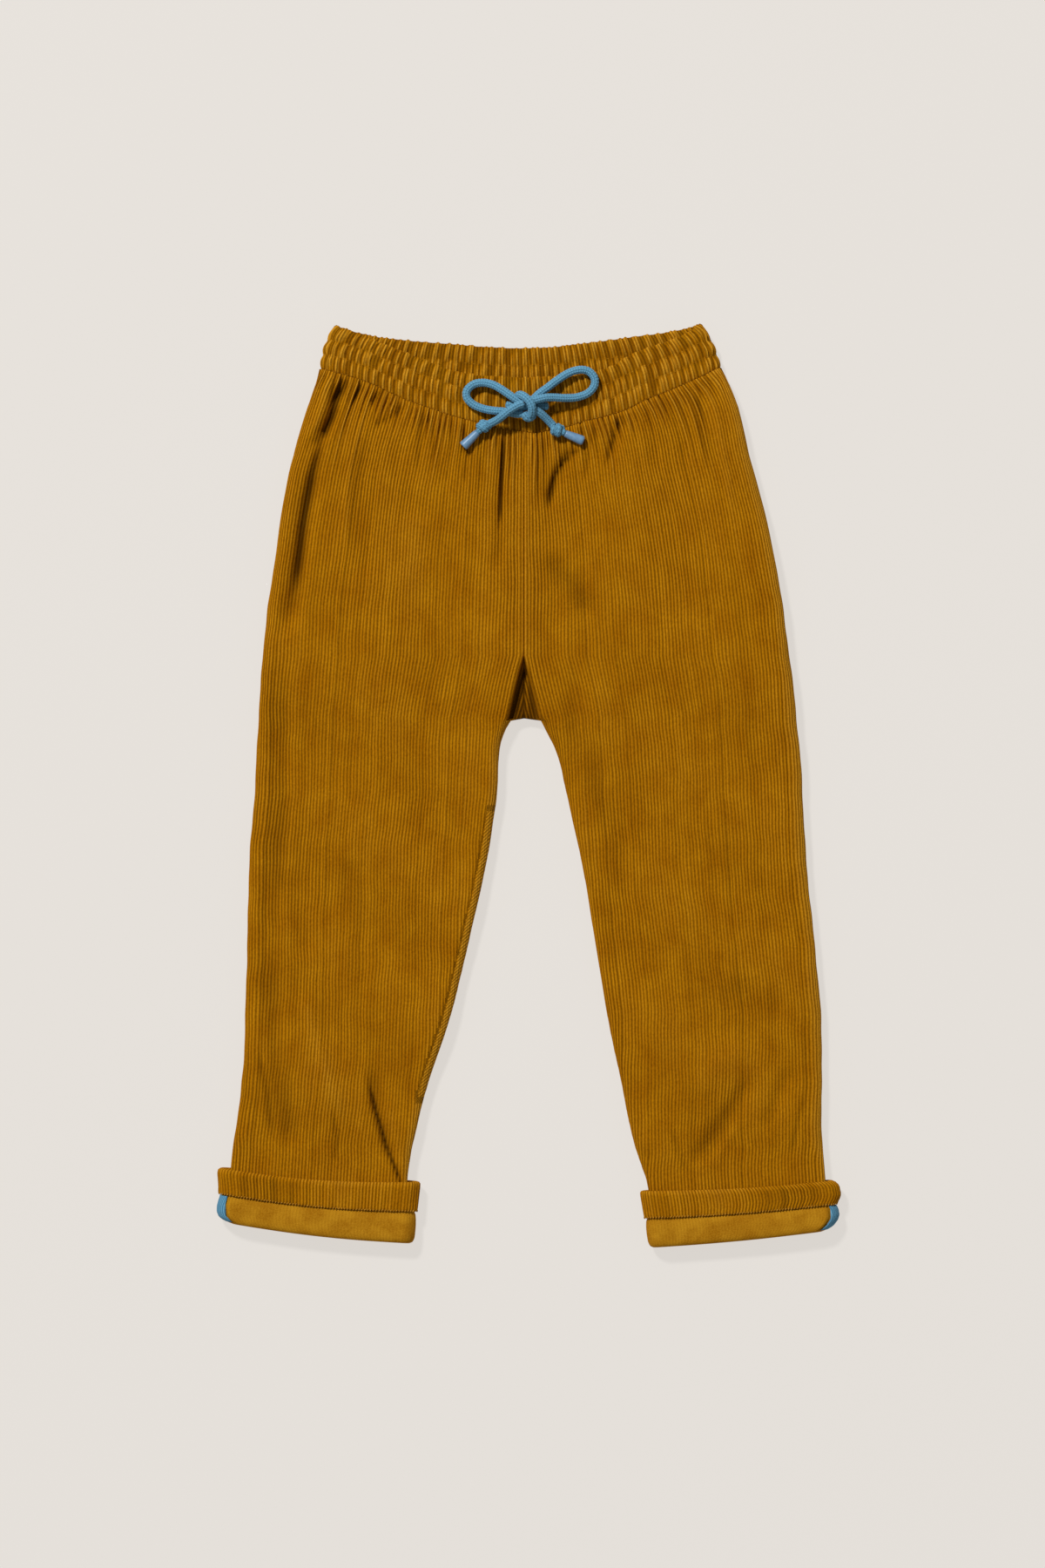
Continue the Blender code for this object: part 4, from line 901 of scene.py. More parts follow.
def valley_half(row):
    """Half the width of the hollow between the legs."""
    return between(0, VALLEY_HALF, np.clip((VALLEY_TOP - row) / VALLEY_LONG, 0, 1))


def valley(row, inset):
    """How much of the drop to the crotch the front takes, inset from the rise seam."""
    half = valley_half(row)
    return ramp(row, VALLEY_TOP + 4, VALLEY_TOP - 12) * ramp(inset, half + 1.8, half - 1.4)


print("hollow between the legs:", 2 * VALLEY_HALF, "mm wide at the crotch")


# %% Relief of its own: pleats, the rise seam and a rolled inseam
def pleats(wale, row):
    """The small pleats that the gathered band leaves in the cloth below it."""
    total = np.zeros_like(wale)
    sewn = 1 - 0.65 * ramp(row, WAIST_ROW - 5, WAIST_ROW)
    every_pleat = zip(pleat_place, pleat_depth, pleat_long, ridge_place, ridge_height)
    for place, depth, long, ridge, height in every_pleat:
        fade = ramp(row, WAIST_ROW - long - 8, WAIST_ROW - 6) * sewn
        strayed = wale - 0.6 * ramp(row, WAIST_ROW, WAIST_ROW - long) * math.sin(place * 7)
        total += depth * fade * bell(strayed - place, 0.46)
        root = height * ramp(row, WAIST_ROW - 5 - 9 * height, WAIST_ROW - 2)
        total -= (height * fade + 0.6 * root) * bell(strayed - ridge, 0.42)
    return total


def seam_pinch(inset, sign):
    """The rise seam sinks in beside a ridge on the right, where the allowances are turned to."""
    ridge = 0.62 if sign > 0 else 0.25
    return 0.35 * bell(inset, 0.5) - ridge * bell(inset - 1.7, 0.9)


ROLLED = 4.8             # mm, the width of the left inseam's rolled strip
ROLLED_ROWS = (-12, -178)    # and the rows that it runs between
WALE_SLANT = (1.1, 2.3)  # how far its wales climb across it, and mm from one to the next along it


def rolled_seam(inset, y):
    """The left inseam has rolled on to the front: a narrow strip beside a groove, wales aslant."""
    along = ramp(y, -6, -30) * ramp(y, ROLLED_ROWS[1], -150)
    groove = 1.1 * bell(inset - ROLLED, 0.6)
    hump = 0.35 * ramp(inset, ROLLED, ROLLED - 1.2) * (1 + 0.5 * np.sin(y / 1.9))
    return (groove - hump) * along


print("pleats:", PLEATS, "below each half of the waistband, up to", round(float(pleat_long.max())), "mm long")

# %% [markdown]
# One row of a panel runs from the side seam, round the side, over the flat of the leg and down at the
# inseam or the rise seam. The turns are quarters of an ellipse, so the row is walked by its length along
# the cloth, as a real piece of cloth would be laid.

# %% One row of a panel
RIM_LIGHT = 1.2          # how much painted highlight an edge gets where it turns over to the right, away from the lamp
TURN_SHARP, TURN_STEEP = 1.3, 0.65   # a side turns over more sharply than an ellipse, where both are 1
TOP_CORNER = 1.2         # mm that a front's top corner is drawn in below the band's end


def turn_in(angle):
    """How far a side has come inwards at an angle of its turn."""
    return (1 - np.cos(angle)) ** TURN_SHARP


def ragged(row):
    """How far a side strays in and out, in mm."""
    return 0.14 * math.sin(row / 7.3) + 0.1 * math.sin(row / 3.1)


def painted_fold_light(relief, in_trough, on_ridge):
    """Painted light of folds: painted shade in their troughs (relief above 0) and painted highlight on their
    ridges.
    """
    return on_ridge * np.maximum(-relief, 0) - in_trough * np.maximum(relief, 0)


def sway(wale, row):
    """How far a wale strays sideways, as real ones do."""
    return 0.32 * np.sin(row / 15 + 0.17 * wale) + 0.16 * np.sin(row / 6.1 - 0.31 * wale)


class PanelRow:
    """One row across a front or a back: where it turns over at its seams and how many wales it has."""

    def __init__(self, cuff, row, front):
        self.cuff, self.row, self.front = cuff, row, front
        self.sign = -1 if cuff.side == "left" else 1
        self.way = 1 if front else -1
        self.leg = row <= LEG_TOP
        tucked = self.tucked = float(in_cuff(cuff, row))
        side_y = row_y(cuff, row, self.sign * 112, 1, front)
        inner_y = row_y(cuff, row, CENTRE_X, 0, front)
        self.side_x = float(outline(cuff.side, "outer", side_y))
        self.side_x -= self.sign * TOP_CORNER * float(ramp(row, WAIST_ROW - 12, WAIST_ROW)) * self.front
        self.side_x += self.sign * ragged(row) * (1 - tucked)
        leg_x = float(outline(cuff.side, "inner", min(inner_y, LEG_TOP)))
        self.edge_x = leg_x if self.leg else CENTRE_X - self.sign * LAP / 2
        inseam = between(SIDE_Z, CROTCH_Z, float(ramp(row, 6, 34)))
        self.side_start = between(SIDE_Z, CUFF_THICK / 2, tucked) - self.way * LAP / 2
        self.inner_start = between(inseam, CUFF_THICK / 2, tucked) - self.way * LAP / 2
        self.side_round = between(SIDE_ROUND, CUFF_THICK / 2 - LEG_IN_CUFF_Z, tucked)
        self.inner_round = between(INSEAM_ROUND, CUFF_THICK / 2 - LEG_IN_CUFF_Z, tucked)
        self.height = float(curve(FRONT_HEIGHT, row)) if front else LEG_IN_CUFF_Z * tucked
        self.side_arc = self.arc(self.side_round, self.side_start)
        self.inner_arc = self.arc(self.inner_round, self.inner_start) if self.leg else 0
        flat = abs(self.side_x - self.edge_x) - self.side_round - (self.inner_round if self.leg else 0)
        self.long = self.side_arc + flat + self.inner_arc
        hollow = float(valley_half(row)) if front else 0
        self.pitch = (self.long - hollow) / SEAT_WALES if not self.leg else None

    def arc(self, radius, start):
        """The length of a side's turn, as of a quarter of an ellipse."""
        rise = abs(self.height - start)
        return math.pi / 2 * math.sqrt((radius ** 2 + rise ** 2) / 2)

    def level(self, x, y, wale):
        """The height of the cloth's face and its painted light there: painted highlight (1) or painted shade
        (-1).
        """
        if not self.front:
            lift = fold_depth(BACK_FOLDS, x, y) * (1 - self.tucked)
            # painted shade along the back's folds
            return self.height + lift, -0.2 * lift
        inset = np.abs(x - self.edge_x)
        hollow = (1 - self.leg) * valley(self.row, inset)
        sunk = (self.height - (CROTCH_Z + SEAM_GAP / 2 + CLOTH)) * hollow
        rim = cuff_rim(self.cuff)
        sewn = 1 - 0.8 * ramp(self.row, WAIST_ROW - 4.5, WAIST_ROW)
        large = fold_depth(FRONT_FOLDS, x, y) * (1 - self.tucked) * sewn
        fine = fold_depth(FINE_FOLDS, x, y) * (1 - ramp(self.row, rim + 6, rim - 6)) * sewn
        gathered = pleats(wale, self.row) + (1 - self.leg) * seam_pinch(inset, self.sign)
        if self.leg and self.sign < 0:
            gathered += rolled_seam(inset, y)
        soft = billow(x, y) * ramp(self.row, WAIST_ROW, WAIST_ROW - 30) * (1 - self.tucked)
        # painted shade in fold troughs, pleats, broad billows and the crotch hollow, painted highlight on
        # ridges
        opened = painted_fold_light(fine, 0.36, 0.16) + painted_fold_light(gathered, 0.3, 0.75) - 0.07 * large - 0.1 * soft - hollow
        shift = (large + fine + gathered + soft) * (1 - hollow)
        return self.height - shift - sunk, np.clip(opened, -1, 0.8)

    def points(self, wale, depth, level=None):
        """Points at these wale numbers, sunk by depth below the face of the cloth, with the height
        of the face and its painted light and tone."""
        inward = -self.sign
        s = np.clip(wale * self.pitch, 0, self.long)
        side_angle = np.clip(s / self.side_arc, 0, 1) * math.pi / 2
        x = self.side_x + inward * (self.side_round * turn_in(side_angle) + np.maximum(s - self.side_arc, 0))
        left_over = self.long - s
        turning = self.leg * (left_over < self.inner_arc)
        inner_angle = np.clip(left_over / max(self.inner_arc, 1e-6), 0, 1) * math.pi / 2
        x = np.where(turning, self.edge_x - inward * self.inner_round * turn_in(inner_angle), x)
        free = ramp(s, 0, 6) * ramp(left_over, 0, 6) * (1 - self.tucked)
        x = x + free * sway(wale, self.row)
        share = (x - self.edge_x) / (self.side_x - self.edge_x)
        y = row_y(self.cuff, self.row, x, share, self.front)
        face, opened = self.level(x, y, wale)
        level = face if level is None else level
        angle = np.where(turning, inner_angle, side_angle)
        start = np.where(turning, self.inner_start, self.side_start)
        rise = np.abs(level - start)
        z = start + self.way * (rise - depth) * np.sin(angle) ** TURN_STEEP
        lean = depth * np.cos(angle)
        faces_right = turning if self.sign < 0 else ~turning
        # painted highlight on the fronts where the edge turns over to the right, away from the lamp
        opened = opened + self.front * faces_right * RIM_LIGHT * np.cos(angle)
        x = np.where(turning, x - inward * lean, x + inward * lean)
        return np.stack((x, y, z), axis=-1), level, opened


print("a front's row at the hip is", round(PanelRow(CUFFS[0], 120, True).long), "mm of cloth")

# %% [markdown]
# The shell of a panel has its face, which follows the wales, and its reverse one cloth's thickness inside,
# which needs only a column for every two wales. Both meet at the seams, so the shell is closed.

# %% Panels
INNER_STEP = 8           # columns of the face for each column of the reverse
WALE_MARKS = np.array([-0.38, -0.05, 0.3, -0.05])    # painted shade in the groove and painted highlight on the top, by column


def relief(columns, row):
    """How far the groove of each wale sinks at each column, uneven from one wale to the next."""
    wale = columns // PER_WALE
    ripple = 1 + 0.07 * np.sin(row / 2.3 + wale * 2.1)
    return GROOVE * PROFILE[columns % PER_WALE] * wale_depth[wale] * ripple


def painted_wale_light_and_tone(columns, row, wide):
    """How much painted highlight a wale's top and painted shade its groove get: most below the waistband,
    above the cuffs and towards both sides of the leg, where the cloth is drawn in. Each wale adds its own
    random tone."""
    wale = columns // PER_WALE
    drawn = 0.12 + 0.5 * ramp(row, 40, 205) + 0.25 * ramp(row, -150, -225)
    drawn = drawn + 0.25 * np.sin(wale / 6.3 + row / 60)
    drawn = drawn + 0.5 * ramp(wale, wide - 9, wide - 2) + 0.45 * ramp(wale, 14, 5)
    marks = np.clip(drawn, 0, 1) * WALE_MARKS[columns % PER_WALE]
    return np.append(marks + wale_tint[wale], 0)


def panel_rows(front):
    """Row heights from the waist to inside the cuff."""
    waist_row, step = (WAIST_ROW, 3.0) if front else (BACK_WAIST_ROW, 5.0)
    seat = np.linspace(waist_row, SPLIT_ROW, round((waist_row - SPLIT_ROW) / step) + 1)
    leg = np.linspace(LEG_TOP, LAST_ROWS[0], round((LEG_TOP - LAST_ROWS[0]) / (step * 1.15)) + 1)
    return np.concatenate((seat, leg, [-230, -238, LAST_ROWS[1]]))


def beneath(level, front):
    """The deepest level near each column of the reverse, so that it never shows through the face."""
    padded = np.pad(level, INNER_STEP, mode="edge")
    near = np.lib.stride_tricks.sliding_window_view(padded, 2 * INNER_STEP + 1)
    deepest = near.min(axis=1) if front else near.max(axis=1)
    return np.append(deepest[:-1:INNER_STEP], deepest[-1])


def make_panel(name, cuff, front):
    outer, inner, maps, inner_maps, opened, inner_opened = [], [], [], [], [], []
    pitch = None
    for row in panel_rows(front):
        shape = PanelRow(cuff, row, front)
        pitch = shape.pitch = shape.pitch or pitch
        count = int((shape.long / pitch) * PER_WALE - 0.6) + 1
        columns = np.arange(count)
        wale = columns / PER_WALE + wale_shift[columns // PER_WALE] * (columns % PER_WALE > 0)
        wale = np.append(wale, shape.long / pitch)
        depth = np.append(relief(columns, row), 0.2)
        face_points, face_level, face_opened = shape.points(wale, depth)
        face_opened = face_opened + painted_wale_light_and_tone(columns, row, shape.long / pitch)
        outer.append(face_points)
        opened.append(face_opened)
        across = np.append(columns / PER_WALE, shape.long / pitch)
        inset = np.abs(face_points[:, 0] - shape.edge_x)
        if front and shape.leg and cuff.side == "left" and ROLLED_ROWS[1] < row < ROLLED_ROWS[0]:
            across = np.where(inset < ROLLED, (row + WALE_SLANT[0] * inset) / WALE_SLANT[1], across)
        maps.append(np.stack((across, np.full(count + 1, row)), axis=-1))
        picked = np.append(columns[::INNER_STEP] / PER_WALE, shape.long / pitch)
        inner.append(shape.points(picked, np.full(len(picked), CLOTH), beneath(face_level, front))[0])
        inner_opened.append(np.zeros(len(picked)))
        inner_maps.append(np.stack((picked, np.full(len(picked), row)), axis=-1))
    face = number_rows(outer)
    back = number_rows(inner, sum(len(row) for row in outer))
    faces = []
    for first, second in zip(face, face[1:]):
        faces += line_up(first, second)
    shown = len(faces)
    for first, second in zip(back, back[1:]):
        faces += line_up(first, second)
    hidden = len(faces)
    for end in (0, -1):
        faces += join_rows(face[end], back[end])
        faces += join_rows([row[end] for row in face], [row[end] for row in back])
    which = [0] * shown + [1] * (hidden - shown) + [0] * (len(faces) - hidden)
    return make_piece(name, np.vstack(outer + inner), faces, [FACE, REVERSE], which,
                      np.vstack(maps + inner_maps), opened=np.concatenate(opened + inner_opened))


def panel_area(cuff, front):
    """The flat area of a panel in square metres, from the length of its rows."""
    rows = panel_rows(front)
    longs = [PanelRow(cuff, row, front).long for row in rows]
    strips = zip(longs, longs[1:], rows, rows[1:])
    return sum((a + b) / 2 * (top - low) for a, b, top, low in strips) * MM * MM


for cuff in CUFFS:
    for word, front in (("front", True), ("back", False)):
        node = word + "_" + cuff.side
        panel = stand_for(make_panel("corduroy_" + node, cuff, front), node)
        float(panel_area(cuff, front))

# %% [markdown]
# ## The waistband
# The band is a casing: cloth folded over a wide elastic and sewn through in two more lines, so it has three
# channels. The elastic draws it in, and it rucks up into short ridges a few millimetres apart
# that shift a little from one channel to the next.

# %% Gathers
GATHERS = 66             # ridges across each half, about 3.3 mm apart
CHANNELS = 3
WALES_PER_GATHER = 2
BAND_COLUMNS = GATHERS * WALES_PER_GATHER * PER_WALE
CHANNEL_ROWS = 8
TURN_SHARE = 0.06        # of the band's width that turns over at each side
PUFF = 0.9               # mm that a channel swells
GATHER_TOP, GATHER_DEEP = 0.66, 1.2      # mm from the mean surface to the ridges' tops and the troughs
gather_size = random.uniform(0.5, 1.3, (CHANNELS + 1, GATHERS + 2))
gather_shift = random.normal(0, 0.2, (CHANNELS + 1, GATHERS + 2))
gather_common = random.normal(0, 0.12, GATHERS + 2)
CHANNEL_OFFSETS = (0.0, 0.42, -0.16)     # how far each channel's ridges are shifted, in gathers
print("gathers:", GATHERS, "in each of", CHANNELS, "channels on each half")


# %% One half of the waistband
def band_base(left, right, low, high, share):
    """x, z and the outward direction on one half of the band, laid flat."""
    start = share < TURN_SHARE
    end = share > 1 - TURN_SHARE
    turned = np.where(start, share, np.where(end, 1 - share, TURN_SHARE)) / TURN_SHARE * math.pi / 2
    across = (share - TURN_SHARE) / (1 - 2 * TURN_SHARE)
    middle = between(left + CASING_ROUND, right - CASING_ROUND, across)
    x = np.where(start, left + CASING_ROUND * (1 - np.cos(turned)), middle)
    x = np.where(end, right - CASING_ROUND * (1 - np.cos(turned)), x)
    z = low + (high - low) * np.sin(turned)
    out_x = np.where(start, -np.cos(turned), np.where(end, np.cos(turned), 0))
    out_z = np.sin(turned) * CASING_ROUND / (high - low)
    size = np.hypot(out_x, out_z)
    return x, z, out_x / size, out_z / size


def gather_wave(share, down):
    """The ridges of the gathers in the channel that this line round the band belongs to."""
    place = share * GATHERS
    channel = np.clip(down * CHANNELS, 0, CHANNELS - 1e-6)
    index = np.clip(place.astype(int), 0, GATHERS)
    row = int(channel)
    wave = 0
    for offset in (-1, 0, 1):
        ridge = np.clip(index + offset, 0, GATHERS)
        centre = ridge + 0.5 + gather_shift[row, ridge] + gather_common[ridge] + CHANNEL_OFFSETS[row]
        lean = 0.3 * (gather_size[row, ridge] - 0.9) * (channel % 1 - 0.5)
        bead = bell(channel % 1 - 0.5 - 1.2 * gather_shift[row, ridge], 0.55)
        wave = wave + gather_size[row, ridge] * bead * bell(place - centre - lean, 0.24)
    return np.minimum(wave * 1.9 - GATHER_DEEP, GATHER_TOP)


def sewn_down(down):
    """How much of its height a ridge keeps near a line of stitching."""
    return 0.3 + 0.7 * abs(math.sin(math.pi * down * CHANNELS)) ** 0.6


def swell(down):
    """How far a channel stands out past its lines of stitching."""
    return PUFF * (abs(math.sin(math.pi * down * CHANNELS)) ** 0.6 * 1.15 - 0.25)


def band_section():
    """(down, depth share) round the band's section: up its face, over its fold and down its reverse."""
    face = [(1 - k / (CHANNELS * CHANNEL_ROWS), 0.0) for k in range(CHANNELS * CHANNEL_ROWS)]
    fold = [(0.012, 0.0), (0.0, 0.25), (-0.012, 0.5), (0.0, 0.75), (0.012, 1.0)]
    reverse = (0.08, 0.165, 0.25, 0.333, 0.42, 0.5, 0.58, 0.667, 0.75, 0.83, 0.92, 1.0)
    return face + fold + [(down, 1.0) for down in reverse]


def band_ends(down):
    """x of the band's two sides, down from its top edge (0) to its seam (1)."""
    left = curve([(step.down, step.left) for step in BAND_ENDS], down)
    right = curve([(step.down, step.right) for step in BAND_ENDS], down)
    return float(left), float(right)


def make_band(name, top, bottom, high, front):
    """One half of the band, flat but for its gathers, which face up on both halves."""
    way = 1 if front else -1
    low = SIDE_Z - way * LAP / 2
    columns = np.arange(BAND_COLUMNS + 1)
    share = columns / BAND_COLUMNS
    ends = ramp(share, 0, 0.02) * ramp(share, 1, 0.98)
    wale = columns // PER_WALE
    ribs = GROOVE * 0.7 * PROFILE[columns % PER_WALE] * wale_depth[wale % UNEVEN_WALES]
    rows, maps, opened = [], [], []
    for down, depth in band_section():
        x, z, out_x, out_z = band_base(*band_ends(down), low, high, share)
        y = between(curve(top, x), curve(bottom, x), down)
        wave = gather_wave(share, min(max(down, 0), 1)) * ends
        gathered = swell(down) + wave * sewn_down(down) - ribs
        if depth == 0:
            rise = gathered
        elif depth == 1:
            rise = ribs * 0.5
        else:
            rise = gathered * (0.25 if front else 0.5 * (1 - depth))
        out = rise - CASING * depth if front else -rise - CASING * (1 - depth)
        scallop = 0.4 * gather_wave(share, 0.1) * ends * (abs(down) < 0.06)
        rows.append(np.stack((x + out_x * out, y + scallop, z + out_z * out), axis=-1))
        maps.append(np.stack((columns / PER_WALE, y), axis=-1))
        # painted highlight over the band's face and fold, strongest on the gathers' ridges, and painted shade
        # in their troughs and the wales' grooves; none on the reverse
        opened.append(np.clip(1.7 * wave + 1.56 - 0.5 * ribs, -0.75, 1.3) * (depth < 1))
    faces = closed_section(number_rows(rows), line_up)
    return make_piece(name, np.vstack(rows), faces, [FACE], maps=np.vstack(maps),
                      opened=np.concatenate(opened))


BAND_HALVES = [("front", FRONT_TOP, FRONT_BOTTOM, BAND_Z), ("back", BACK_TOP, BACK_BOTTOM, 0)]
for word, top, bottom, high in BAND_HALVES:
    node = "waistband_" + word
    band = stand_for(make_band("corduroy_" + node, top, bottom, high, word == "front"), node)

# %% [markdown]
# ## The rolled cuffs
# Each hem is rolled up once. So the lower part of the cuff shows the flat reverse of the cloth, and the
# upper part shows the hem allowance with its wales, stitched down along its raw edge. A short length of
# blue tape covers the side seam on the reverse.

# %% Points on a cuff
HEM_DOWN = 0.48          # how far down the cuff its hem allowance reaches
LIP = 2.8                # mm that the hem allowance turns down behind the rim
# How much further in each cuff's outer end lies (down the cuff, mm): rounded at the rim and at the
# bottom fold, and swollen where the tape lies.
END_SHAPES = {
    "left": [(0, 1.4), (0.06, 0.3), (0.2, 0), (0.46, -0.3), (0.62, -1.7), (0.75, -2.5), (0.86, -2.2),
             (0.93, -0.7), (0.97, 1.2), (1.0, 3.6)],
    "right": [(0, 5.0), (0.05, 3.0), (0.12, 1.1), (0.2, 0.1), (0.33, -0.8), (0.46, 0.2), (0.54, -1.0),
              (0.64, -2.1), (0.74, -2.3), (0.86, -1.0), (0.94, 1.0), (1.0, 3.6)],
}


def cuff_round(cuff, count):
    """Places round a cuff, evenly spaced along its middle line: kind of place and amount."""
    radius = CUFF_THICK / 2
    flat = abs(cuff.outer_rim[0] - cuff.inner_rim[0]) - CUFF_THICK
    turn = math.pi * radius
    places = []
    for step in range(count):
        s = step / count * 2 * (flat + turn)
        if s < turn:
            places.append(("outer", math.pi * (s / turn - 0.5)))
        elif s < turn + flat:
            places.append(("top", (s - turn) / flat))
        elif s < 2 * turn + flat:
            places.append(("inner", math.pi * (0.5 - (s - turn - flat) / turn)))
        else:
            places.append(("bottom", 1 - (s - 2 * turn - flat) / flat))
    return places


def cuff_point(cuff, place, down, depth):
    """A point of a cuff: down from rim (0) to bottom fold (1), and depth in from its face."""
    where, amount = place
    sign = -1 if cuff.side == "left" else 1
    outer_x = between(cuff.outer_rim[0], cuff.outer_fold[0], down)
    outer_x -= sign * float(curve(END_SHAPES[cuff.side], down))
    inner_x = between(cuff.inner_rim[0], cuff.inner_fold[0], down)
    radius = CUFF_THICK / 2
    outer_mid, inner_mid = outer_x - sign * radius, inner_x + sign * radius
    if where == "outer":
        x = outer_mid + sign * (radius - depth) * math.cos(amount)
        z = radius + (radius - depth) * math.sin(amount)
    elif where == "inner":
        x = inner_mid - sign * (radius - depth) * math.cos(amount)
        z = radius + (radius - depth) * math.sin(amount)
    else:
        x = between(outer_mid, inner_mid, amount)
        z = CUFF_THICK - depth if where == "top" else depth
    return x, z


def make_ring(name, cuff, section, count, per_wale, finishes, which, dent, shade):
    """A closed ring of equal sections; dent(place index, down, depth) sinks its face and
    shade(place index, down) gives its painted light and tone."""
    places = cuff_round(cuff, count)
    points, maps, opened = [], [], []
    for index, place in enumerate(places):
        for down, depth in section:
            x, z = cuff_point(cuff, place, down, depth + dent(index, place, down, depth))
            points.append((x, float(cuff_y(cuff, x, z, down)), z))
            maps.append((index / per_wale, down * cuff_length(cuff)))
            opened.append(shade(index, down))
    size = len(section)
    faces, looks = [], []
    for index in range(count):
        ahead = (index + 1) % count
        for k in range(size):
            after = (k + 1) % size
            faces.append((index * size + k, index * size + after, ahead * size + after, ahead * size + k))
            looks.append(which[k])
    return make_piece(name, points, faces, finishes, looks, maps, opened=opened)


print("cuff lengths:", [round(cuff_length(cuff), 1) for cuff in CUFFS], "mm")

# %% Hem allowances, with their wales
HEM_WALES = 132
HEM_MARKS = (-0.35, -0.05, 0.28, -0.05)  # painted shade in the groove and painted highlight on the top, by column
HEM_FACES = 14           # strips of its section that show the pile; the others show the reverse


def hem_section(length):
    """(down, depth) round the section of a hem allowance: its face, the rim and its reverse."""
    lip, inside = LIP / length, CUFF_LAYER + CLOTH
    face = [(HEM_DOWN - k * 0.055, 0.0) for k in range(1, 8)]
    cut_edge = [(HEM_DOWN, 0.45), (HEM_DOWN - 0.018, 0.1)]
    rim = [(0.035, 0.12), (0.006, 0.9), (0, inside / 2), (0.02, inside - 0.3)]
    return cut_edge + face + rim + [(lip, inside), (lip, CLOTH), (HEM_DOWN, CLOTH)]


def hem_dent(index, place, down, depth):
    """Grooves between the wales, deeper where the cloth is drawn in by the stitches."""
    if depth > 1:
        return 0
    groove = GROOVE * PROFILE[index % PER_WALE] * wale_depth[index // PER_WALE]
    pulled = 0.45 * math.sin(index * 0.31 + down * 5) * math.sin(index * 0.083)
    return groove + pulled * (0.3 + down)


def hem_shade(index, down):
    """Paler along the rim, with wales of uneven brightness, painted shade in their grooves and painted
    highlight on their tops.
    """
    wale = index // PER_WALE
    ridge = HEM_MARKS[index % PER_WALE] * (0.5 + 0.5 * math.sin(wale * 0.37))
    cloud = 0.22 * math.sin(index * 0.029 + 2) * math.sin(index * 0.0117)
    return ridge + cloud + 2 * wale_tint[wale] + 0.3 * float(ramp(down, 0.12, 0.0))


for cuff in CUFFS:
    section = hem_section(cuff_length(cuff))
    which = [0] * HEM_FACES + [1] * (len(section) - HEM_FACES)
    hem = make_ring("corduroy_hem_" + cuff.side, cuff, section, HEM_WALES * PER_WALE, PER_WALE,
                    [FACE, REVERSE], which, hem_dent, hem_shade)
    stand_for(hem, "hem_" + cuff.side)


# %% Turn-ups, reverse side out
TURNUP_RIBS = 132


def turnup_section(length):
    """(down, depth) round the section of a turn-up: down its face, round the fold and up inside."""
    def up(distance):
        return 1 - distance / length

    start, face, inside = (LIP + SEAM_GAP) / length, CUFF_LAYER, LEG_IN_CUFF_Z
    return [
        (start, face), (HEM_DOWN + 0.005, face), (HEM_DOWN + 0.02, 1.6), (HEM_DOWN + 0.06, 1.0),
        (HEM_DOWN + 0.13, 0.6), (0.7, 0.35), (up(7), 0.3), (up(5), 0.3), (up(3.2), 0.4), (up(1.8), 0.8),
        (up(0.8), 1.4), (up(0.1), 2.9), (up(0.8), 4.3), (up(3.2), inside + CLOTH),
        (up(RETURN), inside + CLOTH), (up(RETURN), inside), (up(3.6), inside), (up(2.2), 2.9),
        (up(3.6), 2.0), (up(7), 2.0), (HEM_DOWN + 0.13, 2.6), (HEM_DOWN, face + CLOTH), (start, face + CLOTH),
    ]


TAPE_LEAN = 0.32         # how far the tape's middle lies up round the cuff's outer end, in radians


def tape_room(place):
    """How much the cuff's face is drawn in at its outer end, where the tape lies."""
    where, amount = place
    return 1.3 * float(ramp(abs(amount - TAPE_LEAN), 1.25, 0.93)) if where == "outer" else 0


def turnup_dent(index, place, down, depth):
    """The ribs that press through from the face, soft dimples, and the room for the tape."""
    if depth > 1.7 or down < HEM_DOWN:
        return 0
    ribs = 0.05 * math.sin(index * math.pi)
    soft = 0.22 * math.sin(index * 0.055 + 1) * math.sin(index * 0.021 + down * 4) ** 2
    return min(ribs + soft + tape_room(place), CUFF_LAYER - depth)


for cuff in CUFFS:
    section = turnup_section(cuff_length(cuff))
    turnup = make_ring("reverse_turnup_" + cuff.side, cuff, section, TURNUP_RIBS * 2, 2,
                       [REVERSE], [0] * len(section), turnup_dent, lambda index, down: 0)
    stand_for(turnup, "turnup_" + cuff.side)

# %% [markdown]
# The tape is a ribbon laid over the side seam. Its points are those of the cuff's outer end, lifted
# by its own thickness.

# %% Seam tapes
TAPE_THICK = 0.6
TAPE_TURN = math.pi * 0.56
TAPE_DOWNS = np.linspace(HEM_DOWN + 0.02, 0.968, 18)
TAPE_DEPTHS = [(HEM_DOWN + 0.02, CUFF_LAYER - SEAM_GAP), (0.62, 1.3), (0.74, 1.0), (0.9, 1.0), (0.944, 1.3),
               (0.968, 1.8)]


def make_tape(cuff):
    turns = TAPE_LEAN + TAPE_TURN * (np.linspace(0, 1, 17) - 0.5)
    rows = []
    for lifted in (TAPE_THICK, 0):
        for down in TAPE_DOWNS:
            depth = float(np.interp(down, *zip(*TAPE_DEPTHS))) - lifted
            row = []
            for turn in turns:
                x, z = cuff_point(cuff, ("outer", turn), down, depth)
                row.append((x, float(cuff_y(cuff, x, z, down)), z))
            rows.append(row)
    rows = rows[:len(TAPE_DOWNS)] + rows[:len(TAPE_DOWNS) - 1:-1]
    faces = closed_section(number_rows(rows), join_rows)
    return make_piece("tape_" + cuff.side, np.vstack(rows), faces, [TAPE_FINISH])


for cuff in CUFFS:
    tape = stand_for(make_tape(cuff), "seam_tape_" + cuff.side)

